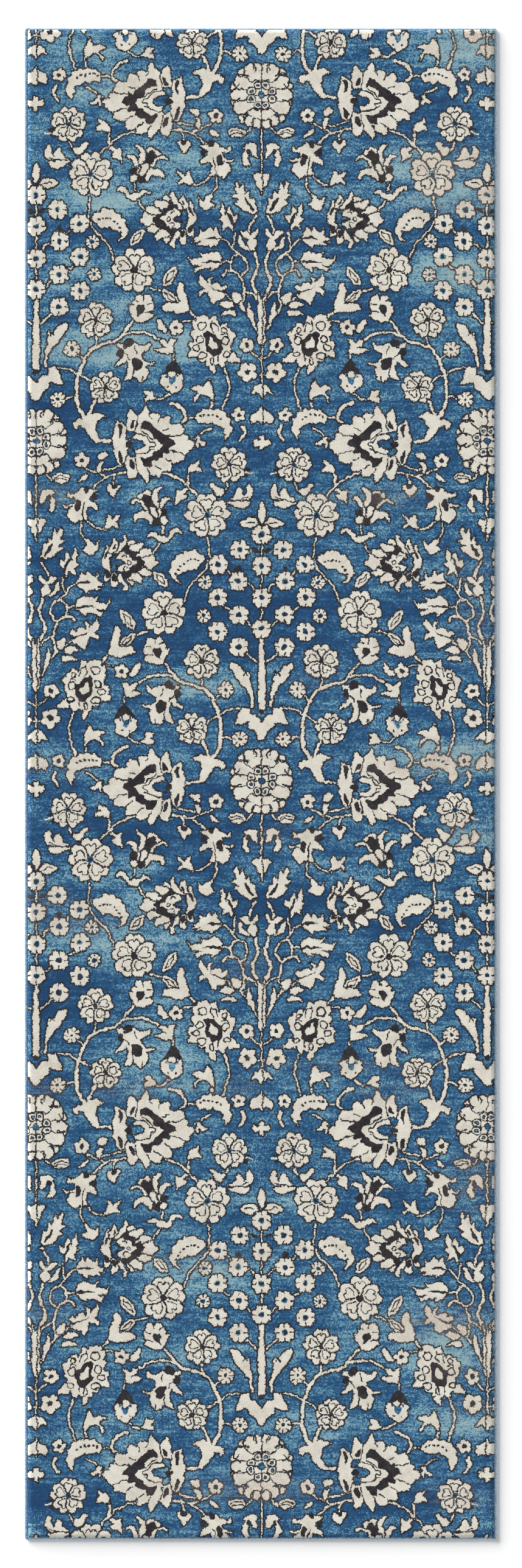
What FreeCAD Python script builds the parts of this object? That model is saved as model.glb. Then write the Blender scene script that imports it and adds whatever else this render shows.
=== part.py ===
"""Runner rug, 2 ft 6 in by 8 ft: cut-pile floral rug with serged edges.

Frame: +Z up, length along Y, width along X. The origin is the middle of the rug's
footprint on the floor (z = 0 is the plane it rests on). Millimetres.

Layers from the floor up: latex back coating, lower weft cloth, stuffer warps,
upper weft cloth, cut pile. The pile is divided by yarn: a blue field and the ivory,
charcoal and blue tufts that draw the flowers, each standing the full pile depth.
All four edges carry a round core cord overcast with light-blue serging yarn.
"""
import FreeCAD, Part
import math
import os

# ---- overall size -----------------------------------------------------------
WIDTH = 762.0            # 2 ft 6 in over the serging
LENGTH = 2438.0          # 8 ft over the serging
HEIGHT = 10.0            # floor to pile tips

# ---- layers (z levels) ------------------------------------------------------
COATING_TOP = 0.9
LOWER_WEFT_TOP = 1.5
STUFFER_TOP = 2.3
GROUND_TOP = 3.1         # the pile stands on this level

# ---- edge finish ------------------------------------------------------------
EDGE_AXIS_INSET = 2.0    # from the outer face to the cord's axis
EDGE_AXIS_Z = 2.0
SERGING_THICKNESS = 0.7
SERGING_LIP = 3.0        # flat part of the wrap, inward from the cord's axis
SERGING_RADIUS = 2.0
CORD_RADIUS = 1.25
GROUND_INSET = 3.4       # outer face to the cut edge of the ground cloth
PILE_INSET = 5.3         # outer face to the first tufts
COATING_INSET = 7.0      # outer face to the edge of the latex

# ---- stuffer warps ----------------------------------------------------------
STUFFER_PITCH = 4.0
STUFFER_WIDTH = 3.2

# ---- label on the back ------------------------------------------------------
LABEL_LENGTH = 70.0
LABEL_WIDTH = 40.0
LABEL_THICKNESS = 0.3
LABEL_CORNER = (250.0, -1150.0)     # the label's corner nearest the middle
LABEL_UNDERSIDE = 0.15
STITCH_LENGTH = 3.0
STITCH_WIDTH = 0.5
STITCH_PITCH = 6.0
STITCH_UNDERSIDE = 0.05

# ---- corner tacks -----------------------------------------------------------
TACK_LENGTH = 3.0
TACK_RADIUS = 0.5

# ---- pattern repeat ---------------------------------------------------------
COLUMN = 364.0           # from one mirror axis to the next
ROW = 553.0              # half drop: the next column's copy sits this much higher
AXIS_X = 1.0             # the middle mirror axis lies a little off the centre line
AXIS_Y = 5.0
BOW = 5.5                # the weft bows: the pattern sags towards both sides
MIN_AREA = 12.0          # slivers of a motif smaller than this are left to the field


def rug_point(u, v):
    """Pattern coordinates (u across, v along) to a point on the rug."""
    return (u + AXIS_X, v + AXIS_Y - BOW * (u / COLUMN) ** 2)


# ---- outlines ---------------------------------------------------------------

def ring(cu, cv, radius_u, radius_v, count, turn=0.0):
    """Points spaced evenly round an ellipse; turn is in steps."""
    steps = [2 * math.pi * (k + turn) / count for k in range(count)]
    return [(cu + radius_u * math.cos(a), cv + radius_v * math.sin(a)) for a in steps]


def mirrored(half):
    """Close a half outline that runs up the right of the axis u = 0."""
    return half + [(-u, v) for u, v in reversed(half) if u > 0.01]


def almond(u0, v0, u1, v1):
    """The two ends of a plain leaf; the bow of its sides gives the width."""
    return [(u0, v0), (u1, v1)]


LARGE_PALMETTE = [
    (124, 3), (129, 39), (144, 32), (151, 55), (164, 39), (178, 61), (183, 45), (195, 49),
    (199, 39), (214, 43), (215, 30), (232, 29), (238, 15), (247, 9), (245, 3), (257, -4),
    (246, -17), (239, -21), (239, -31), (217, -31), (220, -47), (200, -43), (202, -56),
    (183, -50), (179, -65), (166, -47), (153, -61), (144, -33), (132, -35)]
LARGE_PALMETTE_HEART = [
    (169, 25), (174, 34), (183, 35), (187, 26), (203, 12), (217, 14), (223, -5), (218, -19),
    (205, -24), (195, -28), (187, -31), (186, -39), (177, -39), (170, -29), (169, -24),
    (180, -25), (189, -16), (205, -3), (189, 7), (181, 18), (171, 20)]
LARGE_PALMETTE_EYE = [(156, 2), (156, -7), (172, -4), (172, 0)]
SMALL_PALMETTE = [
    (256, 361), (248, 386), (244, 380), (238, 395), (229, 390), (219, 400), (216, 391),
    (207, 393), (203, 386), (190, 387), (192, 379), (176, 376), (175, 367), (165, 358),
    (174, 346), (179, 342), (178, 338), (192, 338), (190, 325), (205, 328), (206, 319),
    (216, 325), (220, 311), (229, 326), (238, 316), (244, 326), (254, 330), (256, 349)]
SMALL_PALMETTE_HEART = [
    (212, 376), (220, 386), (227, 378), (219, 375), (209, 367), (200, 357), (208, 351),
    (215, 341), (227, 337), (219, 331), (213, 335), (212, 341), (202, 343), (193, 350),
    (190, 359), (194, 366), (205, 373)]
TREE_BASE = mirrored([
    (0, 66), (5, 69), (10, 76), (14, 83), (20, 87), (22, 95), (43, 92), (31, 119), (20, 118),
    (19, 108), (9, 103), (0, 94)])
TREE_TRUNK = mirrored([(0, 119), (4.5, 120), (5.5, 180), (3.5, 208), (3, 227), (0, 228)])
TREE_LEAF = [
    (13, 119), (17, 119), (19, 139), (38, 162), (47, 176), (51, 186), (48, 190), (36, 186),
    (29, 175), (20, 176), (17, 150)]
CRESCENT = [
    (117, -1), (102, 1), (95, 19), (99, 31), (111, 37), (97, 44), (88, 38), (80, 34), (68, 34),
    (60, 29), (65, 18), (70, 24), (77, 22), (85, 8), (96, -3), (116, -6)]
SCALLOPED_LEAF = [
    (91, 358), (94, 365), (102, 368), (109, 373), (118, 373), (128, 368), (136, 362), (143, 354),
    (146, 340), (147, 330), (142, 323), (131, 321), (137, 328), (136, 334), (126, 338),
    (118, 342), (106, 341), (97, 350)]
TULIP = [
    (203, 209), (215, 212), (226, 208), (246, 212), (244, 226), (237, 242), (237, 254),
    (230, 253), (226, 243), (204, 245), (209, 223)]
LILY = [
    (131, 156), (139, 156), (142, 147), (154, 156), (166, 151), (178, 150), (185, 155),
    (184, 147), (169, 137), (178, 123), (192, 125), (178, 118), (181, 110), (178, 96),
    (162, 94), (156, 100), (142, 96), (148, 118), (147, 126), (127, 117), (141, 138),
    (140, 147), (132, 148)]
CARNATION = [
    (149, 216), (158, 215), (158, 222), (161, 229), (168, 234), (174, 232), (182, 234),
    (187, 226), (190, 217), (189, 211), (187, 200), (168, 190), (158, 191), (152, 201)]
CARNATION_HEART = [(165, 198), (178, 210), (175, 216), (164, 215), (161, 210)]
BELL = [
    (203, 106), (208, 96), (206, 88), (212, 82), (216, 76), (224, 76), (228, 84), (234, 88),
    (234, 97), (238, 106), (231, 115), (222, 130), (211, 115)]
BELL_CAP = [(211, 108), (217, 112), (226, 112), (231, 108), (222, 123)]
RING_FLOWER = [
    (252, 134), (262, 124), (274, 118), (280, 104), (288, 103), (292, 118), (304, 118),
    (312, 124), (326, 125), (321, 140), (314, 148), (317, 156), (320, 168), (314, 178),
    (304, 184), (296, 186), (290, 199), (280, 194), (268, 200), (256, 196), (251, 184),
    (249, 172), (252, 160), (245, 152), (243, 136)]
RING_FLOWER_HEART = [
    (273, 142), (286, 133), (298, 138), (301, 160), (288, 168), (276, 173), (270, 168)]
AXIS_BUD = [(COLUMN + u, v) for u, v in mirrored(
    [(0, 394), (4, 404), (10, 412), (16, 424), (10, 428), (0, 424)])]
TREE_CROWN = mirrored([
    (0, 416), (12, 414), (20, 411), (31, 416), (18, 424), (6, 422), (5, 436), (0, 443)])

TREE_FLOWER_RADIUS = 15.0
SMALL_FLOWER_RADIUS = 12.0
TREE_FLOWERS = [
    (37, 216), (71, 241), (37, 268), (71, 296), (38, 322), (70, 349), (35, 373),
    (0, 245), (0, 295), (0, 347), (0, 397)]
SMALL_FLOWERS = [(58, 147), (35, 67), (94, 267), (91, 320)]
SIX_PETAL_FLOWERS = [                    # centre u, v and radius
    (112, 85, 27), (96, 193, 30), (158, 272, 37), (87, 429, 37), (52, 510, 30)]

ARC_LEAF = 0.28          # bow of a side, as a share of its length
ARC_PETAL = 0.12
ARC_LOBE = 0.34
ARC_ROUND = 0.62


def six_petals(cu, cv, radius):
    return (ring(cu, cv, 0.65 * radius, 0.65 * radius, 6, turn=0.0), ARC_ROUND)


def eight_lobes(cu, cv, radius):
    return (ring(cu, cv, 0.8 * radius, 0.8 * radius, 8, turn=0.5), ARC_LOBE)


def flower_centre(cu, cv, radius):
    return (ring(cu, cv, radius, radius, 4), 0.2071)


# Each motif: its outline and the charcoal or blue shapes inside it.
# An outline is (points in pattern coordinates, bow of the sides).
ROSETTES = [((ring(0, 0, 44, 47.5, 14, turn=0.5), 0.25), [flower_centre(0, 0, 5)], [])]
PALMETTES = [
    ((LARGE_PALMETTE, ARC_PETAL), [(LARGE_PALMETTE_HEART, 0.0)], [(LARGE_PALMETTE_EYE, 0.1)]),
    ((SMALL_PALMETTE, ARC_PETAL), [(SMALL_PALMETTE_HEART, 0.0)], [])]
BLOSSOMS = (
    [(six_petals(*f), [flower_centre(f[0], f[1], 5)], []) for f in SIX_PETAL_FLOWERS]
    + [((LILY, 0.06), [], []),
       ((CARNATION, 0.15), [(CARNATION_HEART, 0.05)], []),
       ((BELL, 0.1), [(BELL_CAP, 0.02)], []),
       ((RING_FLOWER, 0.16), [(RING_FLOWER_HEART, 0.05)], [])])
TREES = (
    [((TREE_BASE, 0.06), [], []), ((TREE_TRUNK, 0.0), [], []), ((TREE_CROWN, 0.1), [], [])]
    + [(eight_lobes(u, v, TREE_FLOWER_RADIUS), [flower_centre(u, v, 3.5)], [])
       for u, v in TREE_FLOWERS]
    + [(eight_lobes(u, v, SMALL_FLOWER_RADIUS), [flower_centre(u, v, 3)], [])
       for u, v in SMALL_FLOWERS])
LEAVES = [
    ((TREE_LEAF, 0.04), [], []),
    ((CRESCENT, 0.06), [], []),
    ((SCALLOPED_LEAF, 0.15), [], []),
    ((TULIP, 0.06), [], []),
    ((almond(204, 246, 226, 278), ARC_LEAF), [], []),
    ((almond(152, 314, 173, 338), ARC_LEAF), [], []),
    ((AXIS_BUD, 0.12), [], [])]


def placements():
    """Every copy of the repeat that can reach the rug, as functions of (u, v)."""
    for step in range(-3, 4):
        shifted = step % 2
        for side in (1, -1):
            for column in (0, 1):
                if shifted:
                    base, sign = (COLUMN, -1) if column == 0 else (COLUMN, 1)
                else:
                    base, sign = (0, 1) if column == 0 else (2 * COLUMN, -1)
                yield lambda u, v, b=base, s=sign, m=side, k=step: (m * (b + s * u), v + k * ROW)


def outline_wire(points, bow):
    """Closed wire on the ground level; each side is an arc bowed outward."""
    area = sum(x0 * y1 - x1 * y0 for (x0, y0), (x1, y1) in zip(points, points[1:] + points[:1]))
    side = -1.0 if area < 0 else 1.0
    edges = []
    for (x0, y0), (x1, y1) in zip(points, points[1:] + points[:1]):
        start = FreeCAD.Vector(x0, y0, GROUND_TOP)
        end = FreeCAD.Vector(x1, y1, GROUND_TOP)
        if bow == 0:
            edges.append(Part.LineSegment(start, end).toShape())
            continue
        out = FreeCAD.Vector(y1 - y0, x0 - x1, 0) * (bow * side)
        edges.append(Part.Arc(start, (start + end) * 0.5 + out, end).toShape())
    return Part.Wire(edges)


def flat_face(outline, place, holes=()):
    """Plane face of an outline at one placement, with inner outlines left open."""
    def wire(one):
        points, bow = one
        return outline_wire([rug_point(*place(u, v)) for u, v in points], bow)
    face = Part.Face(wire(outline))
    for hole in holes:
        face = face.cut(Part.Face(wire(hole)))
    return face


def box(x0, x1, y0, y1, z0, z1):
    return Part.makeBox(x1 - x0, y1 - y0, z1 - z0, FreeCAD.Vector(x0, y0, z0))


def sheet(inset, z0, z1):
    """Rectangular layer whose edges lie `inset` in from the rug's outer faces."""
    half_x, half_y = WIDTH / 2 - inset, LENGTH / 2 - inset
    return box(-half_x, half_x, -half_y, half_y, z0, z1)


# ---- pile -------------------------------------------------------------------

def pile_rectangle():
    half_x, half_y = WIDTH / 2 - PILE_INSET, LENGTH / 2 - PILE_INSET
    corners = [(-half_x, -half_y), (half_x, -half_y), (half_x, half_y), (-half_x, half_y)]
    return Part.Face(outline_wire(corners, 0))


def raise_pile(faces):
    """Stand flat faces up to the pile tips and group them as one node."""
    depth = FreeCAD.Vector(0, 0, HEIGHT - GROUND_TOP)
    return Part.makeCompound([face.extrude(depth) for face in faces])


def clipped(face, rectangle):
    """The faces of a motif that lie on the rug; a whole motif is returned as it is."""
    limits, box_of = rectangle.BoundBox, face.BoundBox
    if (box_of.XMin > limits.XMax or box_of.XMax < limits.XMin
            or box_of.YMin > limits.YMax or box_of.YMax < limits.YMin):
        return []
    if (box_of.XMin > limits.XMin and box_of.XMax < limits.XMax
            and box_of.YMin > limits.YMin and box_of.YMax < limits.YMax):
        return [face]
    return [part for part in face.common(rectangle).Faces if part.Area > MIN_AREA]


def lay_motifs(rectangle):
    """Faces of each kind of motif and of the charcoal and blue inside them."""
    kinds = {"pile_rosettes": ROSETTES, "pile_palmettes": PALMETTES, "pile_blossoms": BLOSSOMS,
             "pile_trees": TREES, "pile_leaves": LEAVES}
    laid = {name: [] for name in kinds}
    laid["pile_charcoal_hearts"] = []
    laid["pile_blue_eyes"] = []
    seen = set()
    for place in placements():
        for name, motifs in kinds.items():
            for outline, hearts, eyes in motifs:
                whole = flat_face(outline, place)
                kept = clipped(whole, rectangle)
                middle = whole.BoundBox.Center
                spot = (name, round(middle.x, 1), round(middle.y, 1))
                if not kept or spot in seen:
                    continue
                seen.add(spot)
                laid[name] += clipped(flat_face(outline, place, hearts + eyes), rectangle)
                for heart in hearts:
                    laid["pile_charcoal_hearts"] += clipped(flat_face(heart, place), rectangle)
                for eye in eyes:
                    laid["pile_blue_eyes"] += clipped(flat_face(eye, place), rectangle)
    return laid


def pile():
    rectangle = pile_rectangle()
    laid = lay_motifs(rectangle)
    everything = [face for faces in laid.values() for face in faces]
    field = rectangle.cut(everything)
    nodes = {name: raise_pile(faces) for name, faces in laid.items()}
    nodes["pile_field"] = raise_pile([face for face in field.Faces if face.Area > MIN_AREA])
    return nodes


# ---- ground cloth, coating and label ----------------------------------------

def label_box(grow, z0, z1):
    x0, y0 = LABEL_CORNER
    return box(x0 - grow, x0 + LABEL_LENGTH + grow, y0 - grow, y0 + LABEL_WIDTH + grow, z0, z1)


def stuffer_warps():
    half_y = LENGTH / 2 - GROUND_INSET
    reach = WIDTH / 2 - GROUND_INSET
    count = int(2 * reach // STUFFER_PITCH)
    first = -(count - 1) / 2 * STUFFER_PITCH
    bars = []
    for k in range(count):
        middle = first + k * STUFFER_PITCH
        bars.append(box(middle - STUFFER_WIDTH / 2, middle + STUFFER_WIDTH / 2,
                        -half_y, half_y, LOWER_WEFT_TOP, STUFFER_TOP))
    return Part.makeCompound(bars)


def label_stitching():
    """Short stitches round the label, drawn up just clear of the floor."""
    x0, y0 = LABEL_CORNER
    inset = 2.0
    stitches = []
    for k in range(int((LABEL_LENGTH - 2 * inset) // STITCH_PITCH)):
        left = x0 + inset + k * STITCH_PITCH
        for bottom in (y0 + inset, y0 + LABEL_WIDTH - inset - STITCH_WIDTH):
            stitches.append(box(left, left + STITCH_LENGTH, bottom, bottom + STITCH_WIDTH,
                                STITCH_UNDERSIDE, LABEL_UNDERSIDE))
    for k in range(int((LABEL_WIDTH - 4 * inset) // STITCH_PITCH)):
        bottom = y0 + 2 * inset + k * STITCH_PITCH
        for left in (x0 + inset, x0 + LABEL_LENGTH - inset - STITCH_WIDTH):
            stitches.append(box(left, left + STITCH_WIDTH, bottom, bottom + STITCH_LENGTH,
                                STITCH_UNDERSIDE, LABEL_UNDERSIDE))
    return Part.makeCompound(stitches)


# ---- edges ------------------------------------------------------------------

def serging_profile(radius, lip):
    """Face in the XZ plane: a half round outward (+X) with two lips inward, axis at 0, 0."""
    top, bottom = FreeCAD.Vector(0, 0, radius), FreeCAD.Vector(0, 0, -radius)
    nose = FreeCAD.Vector(radius, 0, 0)
    back_top, back_bottom = FreeCAD.Vector(-lip, 0, radius), FreeCAD.Vector(-lip, 0, -radius)
    wire = Part.Wire([
        Part.LineSegment(back_bottom, bottom).toShape(),
        Part.Arc(bottom, nose, top).toShape(),
        Part.LineSegment(top, back_top).toShape(),
        Part.LineSegment(back_top, back_bottom).toShape()])
    return Part.Face(wire)


def along_edge(shape_for, side):
    """Place an edge piece made along +Y at x = 0 onto one side of the rug."""
    turn = {"right": 0, "head": 90, "left": 180, "foot": 270}[side]
    on_length = side in ("left", "right")
    offset = (WIDTH if on_length else LENGTH) / 2 - EDGE_AXIS_INSET
    half = LENGTH / 2 if on_length else WIDTH / 2 - EDGE_AXIS_INSET - SERGING_LIP
    shape = shape_for(half)
    shape.translate(FreeCAD.Vector(offset, 0, EDGE_AXIS_Z))
    shape.rotate(FreeCAD.Vector(0, 0, 0), FreeCAD.Vector(0, 0, 1), turn)
    return shape


def serging(half):
    outer = serging_profile(SERGING_RADIUS, SERGING_LIP)
    inner = serging_profile(SERGING_RADIUS - SERGING_THICKNESS, SERGING_LIP)
    profile = outer.cut(inner)
    profile.translate(FreeCAD.Vector(0, -half, 0))
    return Part.makeCompound(profile.extrude(FreeCAD.Vector(0, 2 * half, 0)).Solids)


def cord(half):
    return Part.makeCylinder(CORD_RADIUS, 2 * half, FreeCAD.Vector(0, -half, 0),
                             FreeCAD.Vector(0, 1, 0))


def corner_tacks():
    """Two locking stitches laid over the serging at each corner, along X on its top."""
    tacks = []
    for sx in (-1, 1):
        for sy in (-1, 1):
            for inset in (2.0, 3.6):
                y = sy * (LENGTH / 2 - inset)
                x0 = sx * (WIDTH / 2 - EDGE_AXIS_INSET)
                start = FreeCAD.Vector(x0, y, EDGE_AXIS_Z + SERGING_RADIUS + TACK_RADIUS)
                tacks.append(Part.makeCylinder(TACK_RADIUS, TACK_LENGTH, start,
                                               FreeCAD.Vector(-sx, 0, 0)))
    return Part.makeCompound(tacks)


def build():
    nodes = pile()
    nodes["upper_weft_cloth"] = sheet(GROUND_INSET, STUFFER_TOP, GROUND_TOP)
    nodes["stuffer_warps"] = stuffer_warps()
    nodes["lower_weft_cloth"] = sheet(GROUND_INSET, COATING_TOP, LOWER_WEFT_TOP)
    pocket = label_box(0.5, 0, LABEL_UNDERSIDE + LABEL_THICKNESS)
    nodes["back_coating"] = sheet(COATING_INSET, 0, COATING_TOP).cut(pocket)
    nodes["care_label"] = label_box(0, LABEL_UNDERSIDE, LABEL_UNDERSIDE + LABEL_THICKNESS)
    nodes["label_stitching"] = label_stitching()
    for side in ("left", "right"):
        nodes["serging_" + side] = along_edge(serging, side)
        nodes["edge_cord_" + side] = along_edge(cord, side)
    for side in ("head", "foot"):
        nodes["serging_" + side] = along_edge(serging, side)
        nodes["end_cord_" + side] = along_edge(cord, side)
    nodes["corner_tacks"] = corner_tacks()
    return nodes


os.makedirs("parts", exist_ok=True)
for node, shape in build().items():
    shape.exportStep("parts/" + node + ".step")
    print(node, len(shape.Solids), "solids", round(shape.Volume), "mm3")
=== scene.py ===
"""Runner rug laid on a pale floor, seen from straight above.

The pile pattern is drawn on tuft cells: every motif of the repeat is filled in and outlined by
one or two tufts on each of its copies, then each yarn becomes its own piece. Lengths in the
pattern and in the tables below are millimetres; meshes are built in metres.
"""
import math

import bpy
import numpy as np
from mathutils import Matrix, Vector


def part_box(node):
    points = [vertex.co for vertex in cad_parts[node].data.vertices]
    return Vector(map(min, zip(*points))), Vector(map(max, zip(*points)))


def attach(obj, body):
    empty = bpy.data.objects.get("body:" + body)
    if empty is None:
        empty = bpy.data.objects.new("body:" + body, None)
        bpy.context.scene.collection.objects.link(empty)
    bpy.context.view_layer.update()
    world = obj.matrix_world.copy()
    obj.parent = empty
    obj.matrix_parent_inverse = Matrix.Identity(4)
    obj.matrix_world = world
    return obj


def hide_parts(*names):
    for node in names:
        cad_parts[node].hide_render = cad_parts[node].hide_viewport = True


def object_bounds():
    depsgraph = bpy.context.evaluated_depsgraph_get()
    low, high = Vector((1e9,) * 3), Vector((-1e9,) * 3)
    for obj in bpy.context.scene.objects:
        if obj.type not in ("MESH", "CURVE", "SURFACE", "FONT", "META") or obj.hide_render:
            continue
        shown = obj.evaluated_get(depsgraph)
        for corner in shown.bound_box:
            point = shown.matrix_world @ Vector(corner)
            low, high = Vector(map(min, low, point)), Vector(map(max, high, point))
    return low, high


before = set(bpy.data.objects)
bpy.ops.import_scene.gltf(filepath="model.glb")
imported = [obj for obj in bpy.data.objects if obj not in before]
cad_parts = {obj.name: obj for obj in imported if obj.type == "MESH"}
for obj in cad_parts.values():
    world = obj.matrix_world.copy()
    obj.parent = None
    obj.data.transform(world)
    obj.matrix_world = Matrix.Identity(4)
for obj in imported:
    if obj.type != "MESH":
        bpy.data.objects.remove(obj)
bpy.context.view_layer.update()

MM = 0.001
rng = np.random.default_rng(7)


def box_mm(node):
    """Low and high corners of a node's box, in millimetres."""
    return [[c / MM for c in corner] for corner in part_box(node)]


# ---- sizes read from the frame ------------------------------------------------
low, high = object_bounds()
HALF_X, HALF_Y = high[0] / MM, high[1] / MM
HEIGHT = high[2] / MM
GROUND_TOP = box_mm("upper_weft_cloth")[1][2]
SERGING_TOP = box_mm("serging_left")[1][2]
SERGING_INNER = -box_mm("serging_left")[1][0]

# ---- pattern repeat -----------------------------------------------------------
COLUMN, ROW = 364.0, 553.0        # distance between mirror axes, half-drop rise
AXIS_X, AXIS_Y = 1.0, 5.0         # the repeat's own origin on the rug
BOW = 5.5                         # the weft bows: both sides sag by this much
CELL = 1.2                        # one tuft
FIELD, CHARCOAL, IVORY = 0, 1, 2

# The pile's four edges; tufts lean out over the serging by different amounts.
LEFT, RIGHT, FOOT, HEAD = -375.4, 376.2, -1215.2, 1216.2
NX, NY = round((RIGHT - LEFT) / CELL), round((HEAD - FOOT) / CELL)
yarn = np.zeros((NY, NX), np.uint8)


def smooth_noise(width):
    """Seeded noise over all the tufts, smoothed over a few of them, about one in size."""
    noise = rng.normal(size=(NY, NX))
    for axis in (0, 1):
        for _ in range(2):
            total = np.cumsum(np.pad(noise, [(width, width) if a == axis else (0, 0)
                                             for a in (0, 1)], mode="wrap"), axis=axis)
            ahead = total[2 * width:] if axis == 0 else total[:, 2 * width:]
            behind = total[:-2 * width] if axis == 0 else total[:, :-2 * width]
            noise = ahead - behind
    return noise / noise.std()


# Tuft centres; the weave pushes each a little out of place, so no outline is quite true.
WOBBLE = 0.75
tuft_x = LEFT + (np.arange(NX) + 0.5)[None, :] * CELL + WOBBLE * smooth_noise(2)
tuft_y = FOOT + (np.arange(NY) + 0.5)[:, None] * CELL + WOBBLE * smooth_noise(2)


def placements():
    """(side, base, sign, rise) of each copy: across = side * (base + sign * u)."""
    for step in range(-3, 4):
        for side in (1, -1):
            if step % 2:
                yield side, COLUMN, -1, step * ROW
                yield side, COLUMN, 1, step * ROW
            else:
                yield side, 0, 1, step * ROW
                yield side, 2 * COLUMN, -1, step * ROW


COPIES = list(placements())


def on_rug(points, copy):
    side, base, sign, rise = copy
    u = side * (base + sign * points[:, 0])
    v = points[:, 1] + rise
    return np.stack([u + AXIS_X, v + AXIS_Y - BOW * (u / COLUMN) ** 2], 1)


SPLINE_STEPS = 5


def spline(points, closed):
    """Catmull-Rom curve through the points."""
    p = np.asarray(points, float)
    if closed:
        p = np.vstack([p[-1:], p, p[:2]])
    else:
        p = np.vstack([2 * p[0] - p[1], p, 2 * p[-1] - p[-2]])
    t = np.linspace(0, 1, SPLINE_STEPS, endpoint=False)[:, None]
    out = []
    for a, b, c, d in zip(p, p[1:], p[2:], p[3:]):
        out.append(0.5 * (2 * b + (c - a) * t + (2 * a - 5 * b + 4 * c - d) * t ** 2
                          + (3 * b - a - 3 * c + d) * t ** 3))
    if not closed:
        out.append(p[-2:-1])
    return np.vstack(out)


# A shape is ("fill", points) or ("line", points, widths), both in pattern millimetres.

def fill(*points):
    return ("fill", np.asarray(points, float))


def blob(*points):
    return ("fill", spline(points, True))


def disc(u, v, radius_u, radius_v=None):
    angles = np.linspace(0, 2 * math.pi, 20, endpoint=False)
    radius_v = radius_u if radius_v is None else radius_v
    return ("fill", np.stack([u + radius_u * np.cos(angles), v + radius_v * np.sin(angles)], 1))


LINE_SHARE = 0.85        # a line is drawn a little thinner than its listed width


def line(width, *points, taper=1.0):
    width = LINE_SHARE * width
    curve = spline(points, False) if len(points) > 2 else np.asarray(points, float)
    return ("line", curve, np.linspace(width, width * taper, len(curve)))


def ring_line(width, u, v, radius_u, radius_v=None):
    circle = disc(u, v, radius_u, radius_v)[1]
    circle = np.vstack([circle, circle[:1]])
    return ("line", circle, np.full(len(circle), width))


def veins(width, *paths):
    """Lines of one width."""
    return [line(width, *path) for path in paths]


def both(*shapes):
    """The shapes and their mirror images in the axis u = 0."""
    flipped = [(s[0], s[1] * (-1, 1), *s[2:]) for s in shapes]
    return list(shapes) + flipped


MARGIN = 4               # room round a shape for its outline


def cells_of(points):
    """Index ranges of the tuft cells round a set of points, or None off the rug."""
    x0, y0 = points.min(0) - MARGIN
    x1, y1 = points.max(0) + MARGIN
    i0, i1 = max(0, int((x0 - LEFT) / CELL)), min(NX, int((x1 - LEFT) / CELL) + 2)
    j0, j1 = max(0, int((y0 - FOOT) / CELL)), min(NY, int((y1 - FOOT) / CELL) + 2)
    return (i0, i1, j0, j1) if i0 < i1 and j0 < j1 else None


def inside(points, x, y):
    """Even-odd test of the cell centres."""
    hit = np.zeros(x.shape, bool)
    x0, y0 = points[-1]
    for x1, y1 in points:
        if y0 != y1:
            crosses = (y0 > y) != (y1 > y)
            hit ^= crosses & (x < (x1 - x0) * (y - y0) / (y1 - y0) + x0)
        x0, y0 = x1, y1
    return hit


def near(points, widths, x, y):
    """Cells whose centre lies within half the width of a polyline."""
    hit = np.zeros(x.shape, bool)
    for (x0, y0), (x1, y1), w in zip(points, points[1:], widths[1:]):
        dx, dy = x1 - x0, y1 - y0
        t = np.clip(((x - x0) * dx + (y - y0) * dy) / max(dx * dx + dy * dy, 1e-9), 0, 1)
        hit |= (x - x0 - t * dx) ** 2 + (y - y0 - t * dy) ** 2 <= (w / 2) ** 2
    return hit


def grown(mask, corners=True):
    """The mask and the tufts next to it."""
    out = mask.copy()
    out[1:] |= mask[:-1]
    out[:-1] |= mask[1:]
    tall = out if corners else mask
    wide = out.copy()
    wide[:, 1:] |= tall[:, :-1]
    wide[:, :-1] |= tall[:, 1:]
    return wide


SECOND_TUFT, LOST_TUFT = 0.6, 0.25      # chances that an outline widens or eats inwards


def outline_of(mask):
    """One tuft all round, a second here and there, and a few lost from the shape's own edge."""
    ring = grown(mask) & ~mask
    second = grown(ring, corners=False) & ~mask
    ring |= second & (rng.random(mask.shape) < SECOND_TUFT)
    edge = mask & grown(~mask, corners=False)
    ring |= edge & (rng.random(mask.shape) < LOST_TUFT)
    return ring


def draw(shapes, colour=IVORY, outline=True):
    """Fill the union of the shapes on every copy, then outline it with charcoal tufts."""
    for copy in COPIES:
        moved = [(s[0], on_rug(s[1], copy), *s[2:]) for s in shapes]
        span = cells_of(np.vstack([s[1] for s in moved]))
        if span is None:
            continue
        i0, i1, j0, j1 = span
        x, y = tuft_x[j0:j1, i0:i1], tuft_y[j0:j1, i0:i1]
        mask = np.zeros(x.shape, bool)
        for shape in moved:
            part = cells_of(shape[1])
            if part is None:
                continue
            window = (slice(part[2] - j0, part[3] - j0), slice(part[0] - i0, part[1] - i0))
            if shape[0] == "fill":
                mask[window] |= inside(shape[1], x[window], y[window])
            else:
                mask[window] |= near(shape[1], shape[2], x[window], y[window])
        tile = yarn[j0:j1, i0:i1]
        tile[mask] = colour
        if outline:
            tile[outline_of(mask)] = CHARCOAL


INK_SPREAD = 0.9         # keeps the thinnest lines from breaking up on the tuft grid


def ink(*shapes):
    """Charcoal drawn inside a shape, with its lines widened."""
    bold = [(s[0], s[1], s[2] + INK_SPREAD) if s[0] == "line" else s for s in shapes]
    draw(bold, CHARCOAL, outline=False)


def paint_field(*shapes, outline=False):
    draw(list(shapes), FIELD, outline)


# ---- flowers that come more than once -------------------------------------------

PETAL = [(0.08, 0), (0.2, -0.18), (0.46, -0.4), (0.78, -0.46), (1.0, -0.3), (0.98, -0.09),
         (0.87, 0), (0.98, 0.09), (1.0, 0.3), (0.78, 0.46), (0.46, 0.4), (0.2, 0.18)]
PETAL_VEIN = [(0.24, -0.05), (0.44, -0.22), (0.66, -0.25), (0.76, -0.1), (0.66, 0), (0.76, 0.1),
              (0.66, 0.25), (0.44, 0.22), (0.24, 0.05)]


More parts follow.
